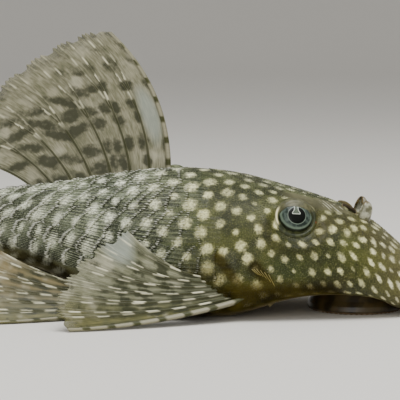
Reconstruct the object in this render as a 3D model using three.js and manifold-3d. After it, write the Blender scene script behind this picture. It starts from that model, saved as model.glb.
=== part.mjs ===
// A bristlenose pleco, an adult female Ancistrus, resting on a level bottom with its dorsal fin raised and its
// paired fins spread. Millimetres: +X towards the snout, +Y to the fish's left, +Z up, and the bottom is at Z = 0.
// The body is drawn in fish coordinates first: s is the distance behind the snout tip, y is across, z is up.
import * as THREE from "three";
import { mergeVertices } from "three/addons/utils/BufferGeometryUtils.js";
import Module from "manifold-3d";

const wasm = await Module();
wasm.setup();

// Driving sizes of the whole fish
const STANDARD_LENGTH = 100; // snout tip to the base of the tail fin
const NOSE_X = 64.6; // places the middle of the overall length on X = 0
const PLATE_PITCH = STANDARD_LENGTH / 37.5; // exposed length of one body plate
const SEAM = 0.34; // gap between two lengths of the body
const SKIN_GAP = 0.3; // gap between a fin or an eye and the body
const BEND_START = 60; // where the tail starts its gentle curve to the left
const BEND_RADIUS = 250;

// Where the body is divided, on its middle line, and how far the head's rear end leans forward below it
const HEAD_END = 34;
const TAIL_START = 75;
const HEAD_LEAN = 0.43;
const LEAN_LEVEL = 10.5;

// Body profiles as [s, size] pairs, from the snout tip to the base of the tail fin
const backHeight = profile([
  [0, 4.0], [1, 6.3], [3, 8.8], [6, 11.6], [10, 14.9], [15, 17.6], [20, 19.4], [26, 21.2], [32, 22.8],
  [38, 23.7], [44, 24.0], [50, 23.5], [58, 22.3], [66, 21.1], [75, 19.8], [85, 18.5], [93, 18.1], [100, 18.5],
]);
const bellyHeight = profile([
  [0, 4.0], [1, 2.0], [3, 0.7], [5, 0.4], [7, 0.9], [9, 2.0], [12, 2.8], [16, 3.1], [21, 3.0], [26, 2.1],
  [31, 0.6], [35, -0.3], [46, -0.3], [52, 1.1], [58, 3.5], [64, 6.0], [70, 8.1], [76, 9.3], [85, 9.4],
  [93, 8.7], [100, 7.9],
]);
const halfWidth = profile([
  [0, 0], [1, 5.6], [3, 8.9], [6, 11.2], [10, 12.9], [16, 14.3], [24, 15.4], [31, 15.9], [38, 15.2],
  [46, 13.6], [54, 11.6], [62, 9.1], [70, 6.8], [78, 5.0], [86, 3.8], [94, 2.9], [100, 2.4],
]);
const widestLevel = profile([
  [0, 4.0], [3, 3.2], [7, 4.2], [12, 6.0], [24, 7.0], [34, 6.6], [44, 7.4], [54, 9.8], [64, 12.6],
  [75, 14.5], [86, 13.9], [100, 13.2],
]);
// Roundness of the section above and below its widest level: 2 is an ellipse, more is boxier.
const backFullness = profile([
  [0, 2.0], [8, 2.1], [16, 2.35], [27, 2.35], [36, 2.0], [44, 1.8], [60, 1.8], [75, 2.0], [100, 2.2],
]);
const bellyFullness = profile([
  [0, 2.2], [6, 2.6], [12, 2.7], [24, 2.8], [34, 3.3], [46, 3.3], [60, 2.6], [75, 2.2], [100, 2.2],
]);

// Eye and nostril, on the left side. rise and forward are the angles that the eye looks at.
const EYE = { s: 24.0, y: 9.9, z: 15.9, radius: 2.95, rise: 20, forward: 4 };
const SOCKET = { collar: 0.8, opening: 2.8, depth: 0.7 };
const NOSTRIL = { s: 14.1, y: 3.9, radius: 0.95 };
const FLAP = { s: 11.6, y: 3.9, thick: 0.75, halfWidth: 1.35, height: 2.9 };

// Body plates: five rows a side, each plate lifting towards its rear edge
const PLATE_ROWS = 5;
const PLATE_LIFT = 0.38;
const FIRST_ROW = 0.74; // where the lowest row starts: 0 is the belly, 1 the widest level and 2 the back
const LAST_ROW = 1.92;

// The sucker disc under the head
const DISC = { s: 12.9, halfLength: 8.1, halfWidth: 8.6, top: 3.4, bowl: 1.2, clearance: 0.35 };

const skinColor = 0x5a5a42;
const finColor = 0x8b8670;

// A smooth curve through [s, value] pairs, run in the square root of s so that it rounds off at the snout.
function profile(pairs) {
  const u = pairs.map((pair) => Math.sqrt(pair[0]));
  const v = pairs.map((pair) => pair[1]);
  const last = u.length - 1;
  const slope = v.map((_, i) => {
    const before = Math.max(0, i - 1);
    const after = Math.min(last, i + 1);
    return (v[after] - v[before]) / (u[after] - u[before]);
  });
  return (s) => {
    const at = Math.sqrt(Math.max(0, s));
    let i = 0;
    while (i < last - 1 && at > u[i + 1]) i += 1;
    const span = u[i + 1] - u[i];
    const t = Math.min(1, (at - u[i]) / span);
    const t2 = t * t;
    const t3 = t2 * t;
    return (2 * t3 - 3 * t2 + 1) * v[i] + (t3 - 2 * t2 + t) * span * slope[i]
      + (3 * t2 - 2 * t3) * v[i + 1] + (t3 - t2) * span * slope[i + 1];
  };
}

const mix = (a, b, t) => a + (b - a) * t;
const clamp01 = (t) => Math.min(1, Math.max(0, t));
const smooth = (t) => clamp01(t) ** 2 * (3 - 2 * clamp01(t));
const degrees = (d) => (d * Math.PI) / 180;
const mixPoint = (a, b, t) => a.map((value, i) => mix(value, b[i], t));
const bezier = (a, b, c, t) => a.map((_, i) => (1 - t) ** 2 * a[i] + 2 * t * (1 - t) * b[i] + t * t * c[i]);

// Fish coordinates to the part's frame: straight to BEND_START, then round an arc towards +Y.
function place([s, y, z]) {
  const turn = Math.max(0, s - BEND_START) / BEND_RADIUS;
  const straight = Math.min(s, BEND_START);
  return [
    NOSE_X - straight - BEND_RADIUS * Math.sin(turn) + y * Math.sin(turn),
    BEND_RADIUS * (1 - Math.cos(turn)) + y * Math.cos(turn),
    z,
  ];
}

// The bare body at s, where around runs from 0 at the belly through 1 at the widest level to 2 at the back.
function bodyPoint(s, around, side) {
  const wide = halfWidth(s);
  const level = widestLevel(s);
  if (around < 1) {
    const angle = (around * Math.PI) / 2;
    const power = 2 / bellyFullness(s);
    const drop = level - bellyHeight(s);
    return [s, side * wide * Math.sin(angle) ** power, level - drop * Math.cos(angle) ** power];
  }
  const angle = ((around - 1) * Math.PI) / 2;
  const power = 2 / backFullness(s);
  const lift = backHeight(s) - level;
  return [s, side * wide * clamp01(Math.cos(angle)) ** power, level + lift * Math.sin(angle) ** power];
}

// Outward direction of the bare body, square to it in s and round the section.
function bodyNormal(s, around, side) {
  const step = 0.02;
  const a = clampAround(around - step);
  const b = clampAround(around + step);
  const ahead = new THREE.Vector3(...bodyPoint(Math.max(0, s - step * 10), around, side));
  const behind = new THREE.Vector3(...bodyPoint(s + step * 10, around, side));
  const below = new THREE.Vector3(...bodyPoint(s, a, side));
  const above = new THREE.Vector3(...bodyPoint(s, b, side));
  return behind.sub(ahead).cross(above.sub(below)).multiplyScalar(-side).normalize();
}
const clampAround = (around) => Math.min(2, Math.max(0, around));

// Height of the plates over the bare body, where plate counts plate lengths from the front.
function plateHeight(plate, around) {
  const row = ((around - FIRST_ROW) / (LAST_ROW - FIRST_ROW)) * PLATE_ROWS;
  if (row <= 0 || row >= PLATE_ROWS) return 0;
  const along = plate - Math.floor(plate);
  const across = row - Math.floor(row);
  return PLATE_LIFT * Math.min(1, 0.15 + 1.05 * along) * Math.min(1, 3.6 * Math.min(across, 1 - across));
}

// The skin stands up a little over each eye and sinks a little below it.
function browHeight([s, y, z]) {
  const above = Math.hypot((s - EYE.s) / 1.3, Math.abs(y) - EYE.y, z - EYE.z - 2.4);
  const below = Math.hypot((s - EYE.s) / 1.4, Math.abs(y) - EYE.y - 3.6, z - EYE.z + 2.8);
  return 0.45 * Math.exp(-((above / 2.6) ** 2)) - 0.9 * Math.exp(-((below / 2.4) ** 2));
}

// A closed solid from points and triangles, turned right side out.
function solidFrom(points, triangles) {
  const vertProperties = new Float32Array(points.flat());
  const make = (faces) => new wasm.Manifold(
    new wasm.Mesh({ numProp: 3, vertProperties, triVerts: new Uint32Array(faces.flat()) }),
  );
  const made = make(triangles);
  return made.volume() > 0 ? made : make(triangles.map(([a, b, c]) => [a, c, b]));
}

// A solid through rings of points, closed by a fan at each end. Each ring is closed on itself.
function loft(rings) {
  const points = [];
  const triangles = [];
  const count = rings[1].length;
  const starts = rings.map((ring) => {
    const start = points.length;
    points.push(...ring);
    return start;
  });
  const fan = (start, flip) => {
    const ring = points.slice(start, start + count);
    const middle = points.push([0, 1, 2].map((i) => ring.reduce((sum, p) => sum + p[i], 0) / count)) - 1;
    ring.forEach((_, i) => {
      const next = start + ((i + 1) % count);
      triangles.push(flip ? [middle, next, start + i] : [middle, start + i, next]);
    });
  };
  rings.slice(1).forEach((ring, r) => {
    const a = starts[r];
    const b = starts[r + 1];
    for (let i = 0; i < count; i += 1) {
      const j = (i + 1) % count;
      if (rings[r].length === 1) triangles.push([a, b + i, b + j]);
      else triangles.push([a + i, b + i, b + j], [a + i, b + j, a + j]);
    }
  });
  if (rings[0].length > 1) fan(starts[0], false);
  fan(starts[rings.length - 1], true);
  return solidFrom(points, triangles);
}

// How much the rings lean at c, their place on the level LEAN_LEVEL
function leanAt(c) {
  if (c < HEAD_END + 1) return HEAD_LEAN * smooth((c - 12) / (HEAD_END - 12));
  return HEAD_LEAN * (1 - smooth((c - HEAD_END) / 18));
}

// One length of the body between two seams, through rings at the given places, where around lists the places round
// each ring. grow swells it, for cutting the roots of fins to the skin.
function bodyLength({ from, to, rings, around, plated, grow = 0 }) {
  const pointAt = (c, step, side, row) => {
    const fade = clamp01(Math.min(c - from, to - c) / PLATE_PITCH);
    const stagger = plated && row % 2 === 1 ? 0.5 * PLATE_PITCH * fade : 0;
    const centre = c - stagger;
    let s = centre;
    let point = bodyPoint(s, step, side);
    for (let pass = 0; pass < 3; pass += 1) {
      s = Math.max(0, centre + leanAt(centre) * (point[2] - LEAN_LEVEL) * clamp01(c / 12));
      point = bodyPoint(s, step, side);
    }
    const raised = plated ? plateHeight((c - from) / PLATE_PITCH, step) * fade : browHeight(point);
    const normal = bodyNormal(s, step, side);
    const lifted = point.map((value, i) => value + (raised + grow) * normal.getComponent(i));
    return place([lifted[0], lifted[1], grow ? lifted[2] : Math.max(0, lifted[2])]);
  };
  const ringAt = (c) => {
    if (c <= 0) return [place([0 - grow, 0, backHeight(0)])];
    const left = around.map(({ at, row }) => pointAt(c, at, 1, row));
    const right = around.slice(1, -1).map(({ at, row }) => pointAt(c, at, -1, row)).reverse();
    return [...left, ...right];
  };
  return loft(rings.map(ringAt));
}

// Places round the plated body: a few under the belly, then a valley and two ridges for each row of plates.
function platedAround() {
  const under = [0, 0.3, 0.55].map((at) => ({ at, row: 0 }));
  const rows = [];
  for (let row = 0; row < PLATE_ROWS; row += 1) {
    for (const across of [0, 0.3, 0.7]) {
      rows.push({ at: mix(FIRST_ROW, LAST_ROW, (row + across) / PLATE_ROWS), row });
    }
  }
  return [...under, ...rows, { at: LAST_ROW, row: 0 }, { at: 2, row: 0 }];
}

// Rings of the plated body: the front, the slope and the raised rear edge of each plate.
function platedRings(from, to) {
  const rings = [from];
  for (let plate = 0; from + plate * PLATE_PITCH < to; plate += 1) {
    for (const along of [0.03, 0.92]) {
      const c = from + (plate + along) * PLATE_PITCH;
      if (c > from + 0.04 && c < to - 0.25) rings.push(c);
    }
  }
  return [...rings, to];
}

const headAround = Array.from({ length: 21 }, (_, i) => ({ at: i / 10, row: 0 }));
const headRings = [
  0, 0.12, 0.5, 1.2, 2.3, 3.7, 5.4, 7.2, 9, 11, 13, 15, 17, 19, 20.8, 22.4, 24, 25.6, 27.4, 29.4, 31.6,
  HEAD_END - SEAM / 2,
];
const headShape = { from: 0, to: HEAD_END - SEAM / 2, rings: headRings, around: headAround };
const trunkFrom = HEAD_END + SEAM / 2;
const trunkTo = TAIL_START - SEAM / 2;
const tailFrom = TAIL_START + SEAM / 2;

// A solid from a three.js shape, moved by a matrix.
function solidOf(geometry, matrix = new THREE.Matrix4()) {
  const bare = geometry.clone();
  bare.deleteAttribute("normal");
  bare.deleteAttribute("uv");
  bare.applyMatrix4(matrix);
  const merged = mergeVertices(bare, 1e-4);
  const vertProperties = merged.attributes.position.array;
  return new wasm.Manifold(
    new wasm.Mesh({ numProp: 3, vertProperties, triVerts: new Uint32Array(merged.index.array) }),
  );
}

// The matrix that stands a shape's Y axis along a direction, with its middle at a point
function stand(middle, along) {
  const turn = new THREE.Quaternion().setFromUnitVectors(new THREE.Vector3(0, 1, 0), along);
  return new THREE.Matrix4().compose(middle, turn, new THREE.Vector3(1, 1, 1));
}

// A taper from one point to another in fish coordinates
function spine(root, tip, rootRadius, tipRadius, sides = 6) {
  const a = new THREE.Vector3(...place(root));
  const b = new THREE.Vector3(...place(tip));
  const length = a.distanceTo(b);
  const along = b.clone().sub(a).normalize();
  const taper = new THREE.CylinderGeometry(tipRadius, rootRadius, length, sides, 1);
  return solidOf(taper, stand(a.lerp(b, 0.5), along));
}

// A ball or an egg in fish coordinates, with its half sizes along s, y and z
function egg(centre, half, lean = 0, across = 16, high = 10) {
  const matrix = new THREE.Matrix4().compose(
    new THREE.Vector3(...place(centre)),
    new THREE.Quaternion().setFromEuler(new THREE.Euler(0, lean, 0)),
    new THREE.Vector3(...half),
  );
  return solidOf(new THREE.SphereGeometry(1, across, high), matrix);
}

// The largest closed body of a solid, which drops the scraps that a cut leaves.
function largest(solid) {
  const bodies = solid.decompose();
  return bodies.reduce((best, body) => (body.volume() > best.volume() ? body : best));
}

function mesh(name, solid, color, roughness) {
  const made = solid.getMesh();
  const geometry = new THREE.BufferGeometry();
  geometry.setAttribute("position", new THREE.BufferAttribute(new Float32Array(made.vertProperties), 3));
  geometry.setIndex(new THREE.BufferAttribute(new Uint32Array(made.triVerts), 1));
  geometry.computeVertexNormals();
  const part = new THREE.Mesh(geometry, new THREE.MeshStandardMaterial({ color, roughness, metalness: 0 }));
  part.name = name;
  return part;
}

// The middle of an eye and the direction that it looks in
function eyeFrame(side) {
  const forward = degrees(EYE.forward);
  const rise = degrees(EYE.rise);
  const centre = new THREE.Vector3(...place([EYE.s, side * EYE.y, EYE.z]));
  const look = new THREE.Vector3(
    Math.sin(forward) * Math.cos(rise),
    side * Math.cos(forward) * Math.cos(rise),
    Math.sin(rise),
  );
  return { centre, look };
}

function eyeBall(name, side) {
  const { centre, look } = eyeFrame(side);
  const eye = new THREE.Mesh(
    new THREE.SphereGeometry(EYE.radius, 18, 11),
    new THREE.MeshStandardMaterial({ color: 0x1d2a30, roughness: 0.15, metalness: 0 }),
  );
  eye.name = name;
  eye.position.copy(centre);
  eye.quaternion.setFromUnitVectors(new THREE.Vector3(0, 1, 0), look);
  return eye;
}

// The collar of skin round an eye, cut off flat where the eye shows
function eyeCollar(side) {
  const { centre, look } = eyeFrame(side);
  const ball = solidOf(new THREE.SphereGeometry(EYE.radius + SOCKET.collar, 18, 12), stand(centre, look));
  return ball.trimByPlane(look.clone().negate().toArray(), -(look.dot(centre) + SOCKET.depth + 0.3));
}

// The socket that an eye sits in, and the round opening that it looks out of
function eyeSocket(side) {
  const { centre, look } = eyeFrame(side);
  const ball = solidOf(new THREE.SphereGeometry(EYE.radius + SKIN_GAP, 18, 12), stand(centre, look));
  const middle = centre.clone().addScaledVector(look, SOCKET.depth + 3);
  const funnel = new THREE.CylinderGeometry(SOCKET.opening + 0.9, SOCKET.opening, 6, 20, 1);
  return ball.add(solidOf(funnel, stand(middle, look)));
}

// The flap of skin that stands up between the two openings of a nostril, hollowed on its rear face
function nostrilFlap(side) {
  const root = backHeight(FLAP.s) - 0.9;
  const y = side * FLAP.y;
  const deep = FLAP.thick * 1.5;
  const body = egg([FLAP.s, y, root + 0.3], [deep, FLAP.halfWidth, FLAP.height], 0.1, 12, 8);
  const inside = [deep, FLAP.halfWidth * 0.78, FLAP.height * 0.8];
  return body.subtract(egg([FLAP.s + 1.25, y, root + 1.3], inside, 0.1, 8, 6));
}

function nostrilPit(side) {
  const { s, y, radius } = NOSTRIL;
  return egg([s, side * y, backHeight(s) - 0.5], [radius, radius, 1.2], 0, 10, 6);
}

// Hooked spines that lie folded along the rear edge of each cheek
const CHEEK_SPINES = {
  count: 6, s: 27.0, z: 5.1, stepS: 0.32, stepZ: 0.35, rise: 64, fan: 6, length: 3.9, radius: 0.3, tip: 0.09,
};
function cheekSpines(side) {
  const { count, s, z, stepS, stepZ, rise, fan, length, radius, tip } = CHEEK_SPINES;
  return Array.from({ length: count }, (_, i) => {
    const angle = degrees(rise - fan * i);
    const reach = length * (1 - 0.07 * Math.abs(i - 2));
    const wide = halfWidth(s);
    const root = [s + stepS * i, side * (wide - 0.5), z + stepZ * i];
    const end = [root[0] + reach * Math.cos(angle), side * (wide + 0.42), root[2] + reach * Math.sin(angle)];
    return spine(root, end, radius, tip);
  });
}

// The gill opening, a short groove under each side of the head
function gillSlit(side) {
  return egg([27.6, side * 9.6, bellyHeight(27.6) - 0.1], [0.32, 2.6, 0.75], 0, 12, 6);
}

// Short bristles of a female, in one row along the front edge of the snout
const BRISTLES = { count: 11, spread: 62, rootRadius: 0.4, tipRadius: 0.16, length: 1.6 };
function bristles() {
  const { count, spread, rootRadius, tipRadius, length } = BRISTLES;
  return Array.from({ length: count }, (_, i) => {
    const turn = degrees(mix(-spread, spread, i / (count - 1)));
    const s = 4.6 * (1 - Math.cos(turn)) ** 1.15;
    const out = i === (count - 1) / 2 ? 0 : halfWidth(s) * Math.sign(turn);
    const reach = length * (0.78 + 0.3 * ((i * 5) % 3) / 2);
    const level = widestLevel(s);
    const root = [s + 0.7 * Math.cos(turn), out - 0.7 * Math.sin(turn), level];
    const tip = [s - reach * Math.cos(turn), out + reach * Math.sin(turn), level + 0.35 - 0.5 * (i % 2)];
    return spine(root, tip, rootRadius, tipRadius);
  });
}

// The pocket under the head that the sucker disc sits in
function discOutline(grow) {
  const shape = new THREE.Shape();
  const [x] = place([DISC.s, 0, 0]);
  shape.absellipse(x, 0, DISC.halfLength + grow, DISC.halfWidth + grow, 0, 2 * Math.PI);
  return shape;
}

function makeHead() {
  const pieces = [bodyLength(headShape), ...bristles()];
  const cuts = [];
  for (const side of [-1, 1]) {
    pieces.push(eyeCollar(side), nostrilFlap(side), ...cheekSpines(side));
    cuts.push(eyeSocket(side), nostrilPit(side), gillSlit(side));
  }
  const pocket = new THREE.ExtrudeGeometry(discOutline(DISC.clearance), {
    depth: DISC.top + DISC.clearance + 1, bevelEnabled: false, curveSegments: 18,
  });
  cuts.push(solidOf(pocket, new THREE.Matrix4().setPosition(0, 0, -1)));
  return largest(wasm.Manifold.union(pieces).subtract(wasm.Manifold.union(cuts)));
}

// The sucker disc: a flat rim, a shallow bowl, the mouth slot, four rows of teeth and a barbel at each corner
const MOUTH = { s: 10.6, halfWidth: 3.6, halfLength: 1.5, toothRow: 2.9 };
function makeDisc() {
  const shares = [0.36, 0.6, 0.76, 0.86, 0.97, 1, 0.98, 0.92];
  const heights = [1, 0.85, 0.4, 0, 0, 0.45, 1.1, 1.75].map((level) => level * DISC.bowl);
  const points = [];
  const triangles = [];
  const count = 30;
  const ringOf = (share, z) => {
    const start = points.length;
    for (let i = 0; i < count; i += 1) {
      const turn = (i / count) * 2 * Math.PI;
      const s = DISC.s - DISC.halfLength * share * Math.cos(turn);
      points.push(place([s, DISC.halfWidth * share * Math.sin(turn), z]));
    }
    return start;
  };
  const underCentre = points.push(place([DISC.s, 0, DISC.bowl])) - 1;
  const starts = shares.map((share, i) => ringOf(share, heights[i]));
  starts.push(ringOf(0.86, DISC.top));
  const topCentre = points.push(place([DISC.s, 0, DISC.top])) - 1;
  for (let i = 0; i < count; i += 1) {
    const j = (i + 1) % count;
    triangles.push([underCentre, starts[0] + j, starts[0] + i]);
    starts.slice(1).forEach((b, r) => {
      triangles.push([starts[r] + i, starts[r] + j, b + j], [starts[r] + i, b + j, b + i]);
    });
    const top = starts[starts.length - 1];
    triangles.push([topCentre, top + i, top + j]);
  }
  const slot = egg([MOUTH.s, 0, 1.2], [MOUTH.halfLength, MOUTH.halfWidth, 1.1], 0, 16, 8);
  const teeth = [];
  for (const side of [-1, 1]) {
    for (const jaw of [-1, 1]) {
      const inner = [MOUTH.s + jaw * 1.05, side * 0.35, 1.2];
      const outer = [MOUTH.s + jaw * 0.65, side * MOUTH.toothRow, 1.2];
      teeth.push(spine(inner, outer, 0.34, 0.3, 6));
    }
  }
  const barbels = [-1, 1].map((side) => {
    const root = [DISC.s - 1.6, side * DISC.halfWidth * 0.86, 0.55];
    const tip = [DISC.s + 0.9, side * DISC.halfWidth * 0.93, 0.46];
    return spine(root, tip, 0.42, 0.22);
  });
  const disc = solidFrom(points, triangles).subtract(slot);
  return largest(wasm.Manifold.union([disc, ...teeth, ...barbels]).subtract(belowFloor()));
}

function belowFloor() {
  return solidOf(new THREE.BoxGeometry(300, 200, 10), new THREE.Matrix4().setPosition(0, 0, -5));
}

// Half thicknesses and shape of a fin, where its own sizes don't say otherwise
const FIN = { web: 0.27, ridge: 0.24, leading: 0.5, steps: 9, notch: 0.035, swell: 0 };

// A rayed fin, whose faces lie either side of a curved sheet of rays. Ray k runs from root(k) to tip(k) and bows
// by bow(k). A ray is a ridge on both faces, and the margin is cut back a little between rays.
function rayedFin(sizes) {
  const { rays, root, tip, bow, web, ridge, leading, steps, notch, swell } = { ...FIN, ...sizes };
  const columns = [-0.1];
  for (let k = 0; k < rays; k += 1) columns.push(k, ...(k < rays - 1 ? [k + 0.24, k + 0.76] : [k + 0.14]));
  const sheet = (k, t) => {
    const a = root(k);
    const b = tip(k);
    const sag = bow(k);
    const cut = 1 - notch * Math.sin(Math.PI * k) ** 2;
    const reach = t * cut;
    return place(a.map((value, i) => mix(value, b[i], reach) + 4 * sag[i] * reach * (1 - reach)));
  };
  const half = (k, t) => {
    const nearest = Math.round(k);
    const onRay = Math.max(0, 1 - Math.abs(k - nearest) / 0.2);
    const strength = nearest === 0 ? leading : ridge;
    const edge = k < 0 || k > rays - 1 ? 0.8 : 1;
    const thick = web * edge + onRay * strength * (1 - 0.7 * t) + swell * Math.max(0, 1 - t * 5);
    return t > 0.999 ? thick * 0.7 : thick;
  };
  const points = [];
  const grid = [1, -1].map((face) => columns.map((k) => Array.from({ length: steps }, (_, r) => {
    const t = r / (steps - 1);
    const e = 0.01;
    const at = new THREE.Vector3(...sheet(k, t));
    const alongRay = new THREE.Vector3(...sheet(k, t + e)).sub(new THREE.Vector3(...sheet(k, t - e)));
    const acrossRays = new THREE.Vector3(...sheet(k + 0.3, t)).sub(new THREE.Vector3(...sheet(k - 0.3, t)));
    const normal = alongRay.cross(acrossRays).normalize();
    const point = at.addScaledVector(normal, face * half(k, t));
    return points.push([point.x, point.y, Math.max(0, point.z)]) - 1;
  })));
  const triangles = [];
  const quad = (a, b, c, d) => triangles.push([a, b, c], [a, c, d]);
  const [front, back] = grid;
  const lastColumn = columns.length - 1;
  const lastStep = steps - 1;
  for (let i = 0; i < lastColumn; i += 1) {
    for (let j = 0; j < lastStep; j += 1) {
      quad(front[i][j], front[i + 1][j], front[i + 1][j + 1], front[i][j + 1]);
      triangles.push([back[i][j], back[i + 1][j + 1], back[i + 1][j]]);
      triangles.push([back[i][j], back[i][j + 1], back[i + 1][j + 1]]);
    }
    quad(front[i][0], back[i][0], back[i + 1][0], front[i + 1][0]);
    quad(front[i][lastStep], front[i + 1][lastStep], back[i + 1][lastStep], back[i][lastStep]);
  }
  for (let j = 0; j < lastStep; j += 1) {
    quad(front[0][j], front[0][j + 1], back[0][j + 1], back[0][j]);
    quad(front[lastColumn][j], back[lastColumn][j], back[lastColumn][j + 1], front[lastColumn][j + 1]);
  }
  return solidFrom(points, triangles);
}

// Dorsal fin: a tall spine and seven branched rays that fan out behind it
const DORSAL = { rays: 8, front: 44.6, spacing: 3.2, height: 25.7, lean: 65.5, bow: 3.0 };
const dorsalFin = {
  rays: DORSAL.rays,
  root: (k) => [DORSAL.front + DORSAL.spacing * k, 0, backHeight(DORSAL.front + DORSAL.spacing * k) - 0.8],
  tip: (k) => {
    const angle = degrees(DORSAL.lean - 0.6 * k - 0.9 * k * k);
    const length = DORSAL.height - 0.2 * k - 0.19 * k * k;
    const [s, y, z] = dorsalFin.root(k);
    return [s + length * Math.cos(angle), y, z + 0.8 + length * Math.sin(angle)];
  },
  bow: (k) => {
    const angle = degrees(DORSAL.lean - 0.6 * k - 0.9 * k * k);
    const size = DORSAL.bow - 0.22 * k;
    return [-size * Math.sin(angle), 0, size * Math.cos(angle)];
  },
  steps: 11,
  swell: 0.35,
};

// Paired fins, on the left side; side -1 mirrors them. Their inner rays rise along the flank.
const PECTORAL = {
  rays: 7,
  root: [[31.3, 14.3, 3.7], [36.6, 13.5, 7.1]],
  tip: [[60.8, 25.5, 0.5], [64.8, 23, 8.4], [51.5, 16.4, 14.9]],
  bow: [[0.3, 1.0, -1.0], [-0.4, 1.2, -2.0]],
};
const PELVIC = {
  rays: 6,
  root: [[49.3, 8.4, 1.6], [53.2, 6.7, 3.7]],
  tip: [[72.5, 18.5, 0.5], [79, 15, 4.8], [72.3, 10.5, 11.0]],
  bow: [[0.3, 0.9, -0.5], [0, 1.3, -0.9]],
};
function pairedFin({ rays, root, tip, bow }, side) {
  const share = (k) => k / (rays - 1);
  const mirrored = ([s, y, z]) => [s, side * y, z];
  return rayedFin({
    rays,
    root: (k) => mirrored(mixPoint(root[0], root[1], share(k))),
    tip: (k) => mirrored(bezier(tip[0], tip[1], tip[2], share(k))),
    bow: (k) => mirrored(mixPoint(bow[0], bow[1], share(k))),
    leading: 0.42,
    swell: 0.45,
  });
}

// Tail fin: sixteen rays off the end of the body, with the lower lobe longer and resting on the bottom
const CAUDAL = {
  rays: 16,
  root: STANDARD_LENGTH + SKIN_GAP,
  tip: [[126, 0, 28], [115, 0, 13.6], [131, 0, 0.9]],
};
const caudalFin = {
  rays: CAUDAL.rays,
  root: (k) => [CAUDAL.root, 0, mix(backHeight(100) - 0.5, bellyHeight(100) + 0.5, k / (CAUDAL.rays - 1))],
  tip: (k) => bezier(...CAUDAL.tip, k / (CAUDAL.rays - 1)),
  bow: (k) => [0, 0, mix(0.9, -0.6, k / (CAUDAL.rays - 1))],
  steps: 8,
  swell: 1.1,
  notch: 0.02,
};

// Anal fin: a spine and four rays under the rear of the trunk
const ANAL = { rays: 5, front: 66.2, spacing: 1.15, length: 10.6, drop: 36 };
const analFin = {
  rays: ANAL.rays,
  root: (k) => [ANAL.front + ANAL.spacing * k, 0, bellyHeight(ANAL.front + ANAL.spacing * k) + 0.9],
  tip: (k) => {
    const angle = degrees(ANAL.drop - 6 * k);
    const length = ANAL.length - 0.55 * k;
    const [s, y, z] = analFin.root(k);
    return [s + length * Math.cos(angle), y, Math.max(0.9, z - 0.9 - length * Math.sin(angle))];
  },
  bow: () => [0, 0, -0.3],
  leading: 0.3,
  steps: 6,
};

// Adipose fin: a short stout spine with a web behind it
const ADIPOSE = { rays: 3, front: 83.4, spacing: 2.6, tip: [[90.6, 0, 23.4], [93.4, 0, 22], [93.4, 0, 19.8]] };
const adiposeFin = {
  rays: ADIPOSE.rays,
  root: (k) => {
    const s = ADIPOSE.front + ADIPOSE.spacing * k;
    return [s, 0, backHeight(s) - 0.8];
  },
  tip: (k) => bezier(...ADIPOSE.tip, k / (ADIPOSE.rays - 1)),
  bow: () => [-0.35, 0, 0.35],
  leading: 0.4,
  steps: 6,
};

const around = platedAround();
const trunkRings = platedRings(trunkFrom, trunkTo);
const trunkShape = { from: trunkFrom, to: trunkTo, rings: trunkRings, around, plated: true };
const tailRings = platedRings(tailFrom, STANDARD_LENGTH);
const tailShape = { from: tailFrom, to: STANDARD_LENGTH, rings: tailRings, around, plated: true };

// The small locking spine in front of the dorsal fin
function spinelet(grow) {
  const half = [1.0, 0.75, 0.75].map((size) => size + grow);
  return egg([43.1, 0, backHeight(43.1) - 0.05], half, 0, 10, 6);
}

// What every fin root is cut back to: the head, trunk and tail, swollen by the gap
const headEnd = HEAD_END + 1;
const skinCut = wasm.Manifold.union([
  bodyLength({ ...headShape, to: headEnd, rings: [...headRings.slice(0, -1), headEnd], grow: SKIN_GAP }),
  bodyLength({ ...trunkShape, grow: SKIN_GAP }),
  bodyLength({ ...tailShape, grow: SKIN_GAP }),
  spinelet(SKIN_GAP),
]);
const rooted = (fin) => largest(fin.subtract(skinCut));

const fish = new THREE.Group();
const body = new THREE.Group();
const fins = new THREE.Group();
fish.add(body, fins);

body.add(
  mesh("head", makeHead(), skinColor, 0.55),
  mesh("trunk", bodyLength(trunkShape).add(spinelet(0)), skinColor, 0.55),
  mesh("tail_stalk", bodyLength(tailShape), skinColor, 0.55),
  mesh("sucker_mouth", makeDisc(), 0xb9a890, 0.6),
  eyeBall("eye_left", 1),
  eyeBall("eye_right", -1),
);
fins.add(
  mesh("dorsal_fin", rooted(rayedFin(dorsalFin)), finColor, 0.5),
  mesh("adipose_fin", rooted(rayedFin(adiposeFin)), finColor, 0.5),
  mesh("tail_fin", rooted(rayedFin(caudalFin)), finColor, 0.5),
  mesh("anal_fin", rooted(rayedFin(analFin)), finColor, 0.5),
);
for (const [name, side] of [["left", 1], ["right", -1]]) {
  fins.add(
    mesh(`pectoral_fin_${name}`, rooted(pairedFin(PECTORAL, side)), finColor, 0.5),
    mesh(`pelvic_fin_${name}`, rooted(pairedFin(PELVIC, side)), finColor, 0.5),
  );
}

export default fish;
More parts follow.
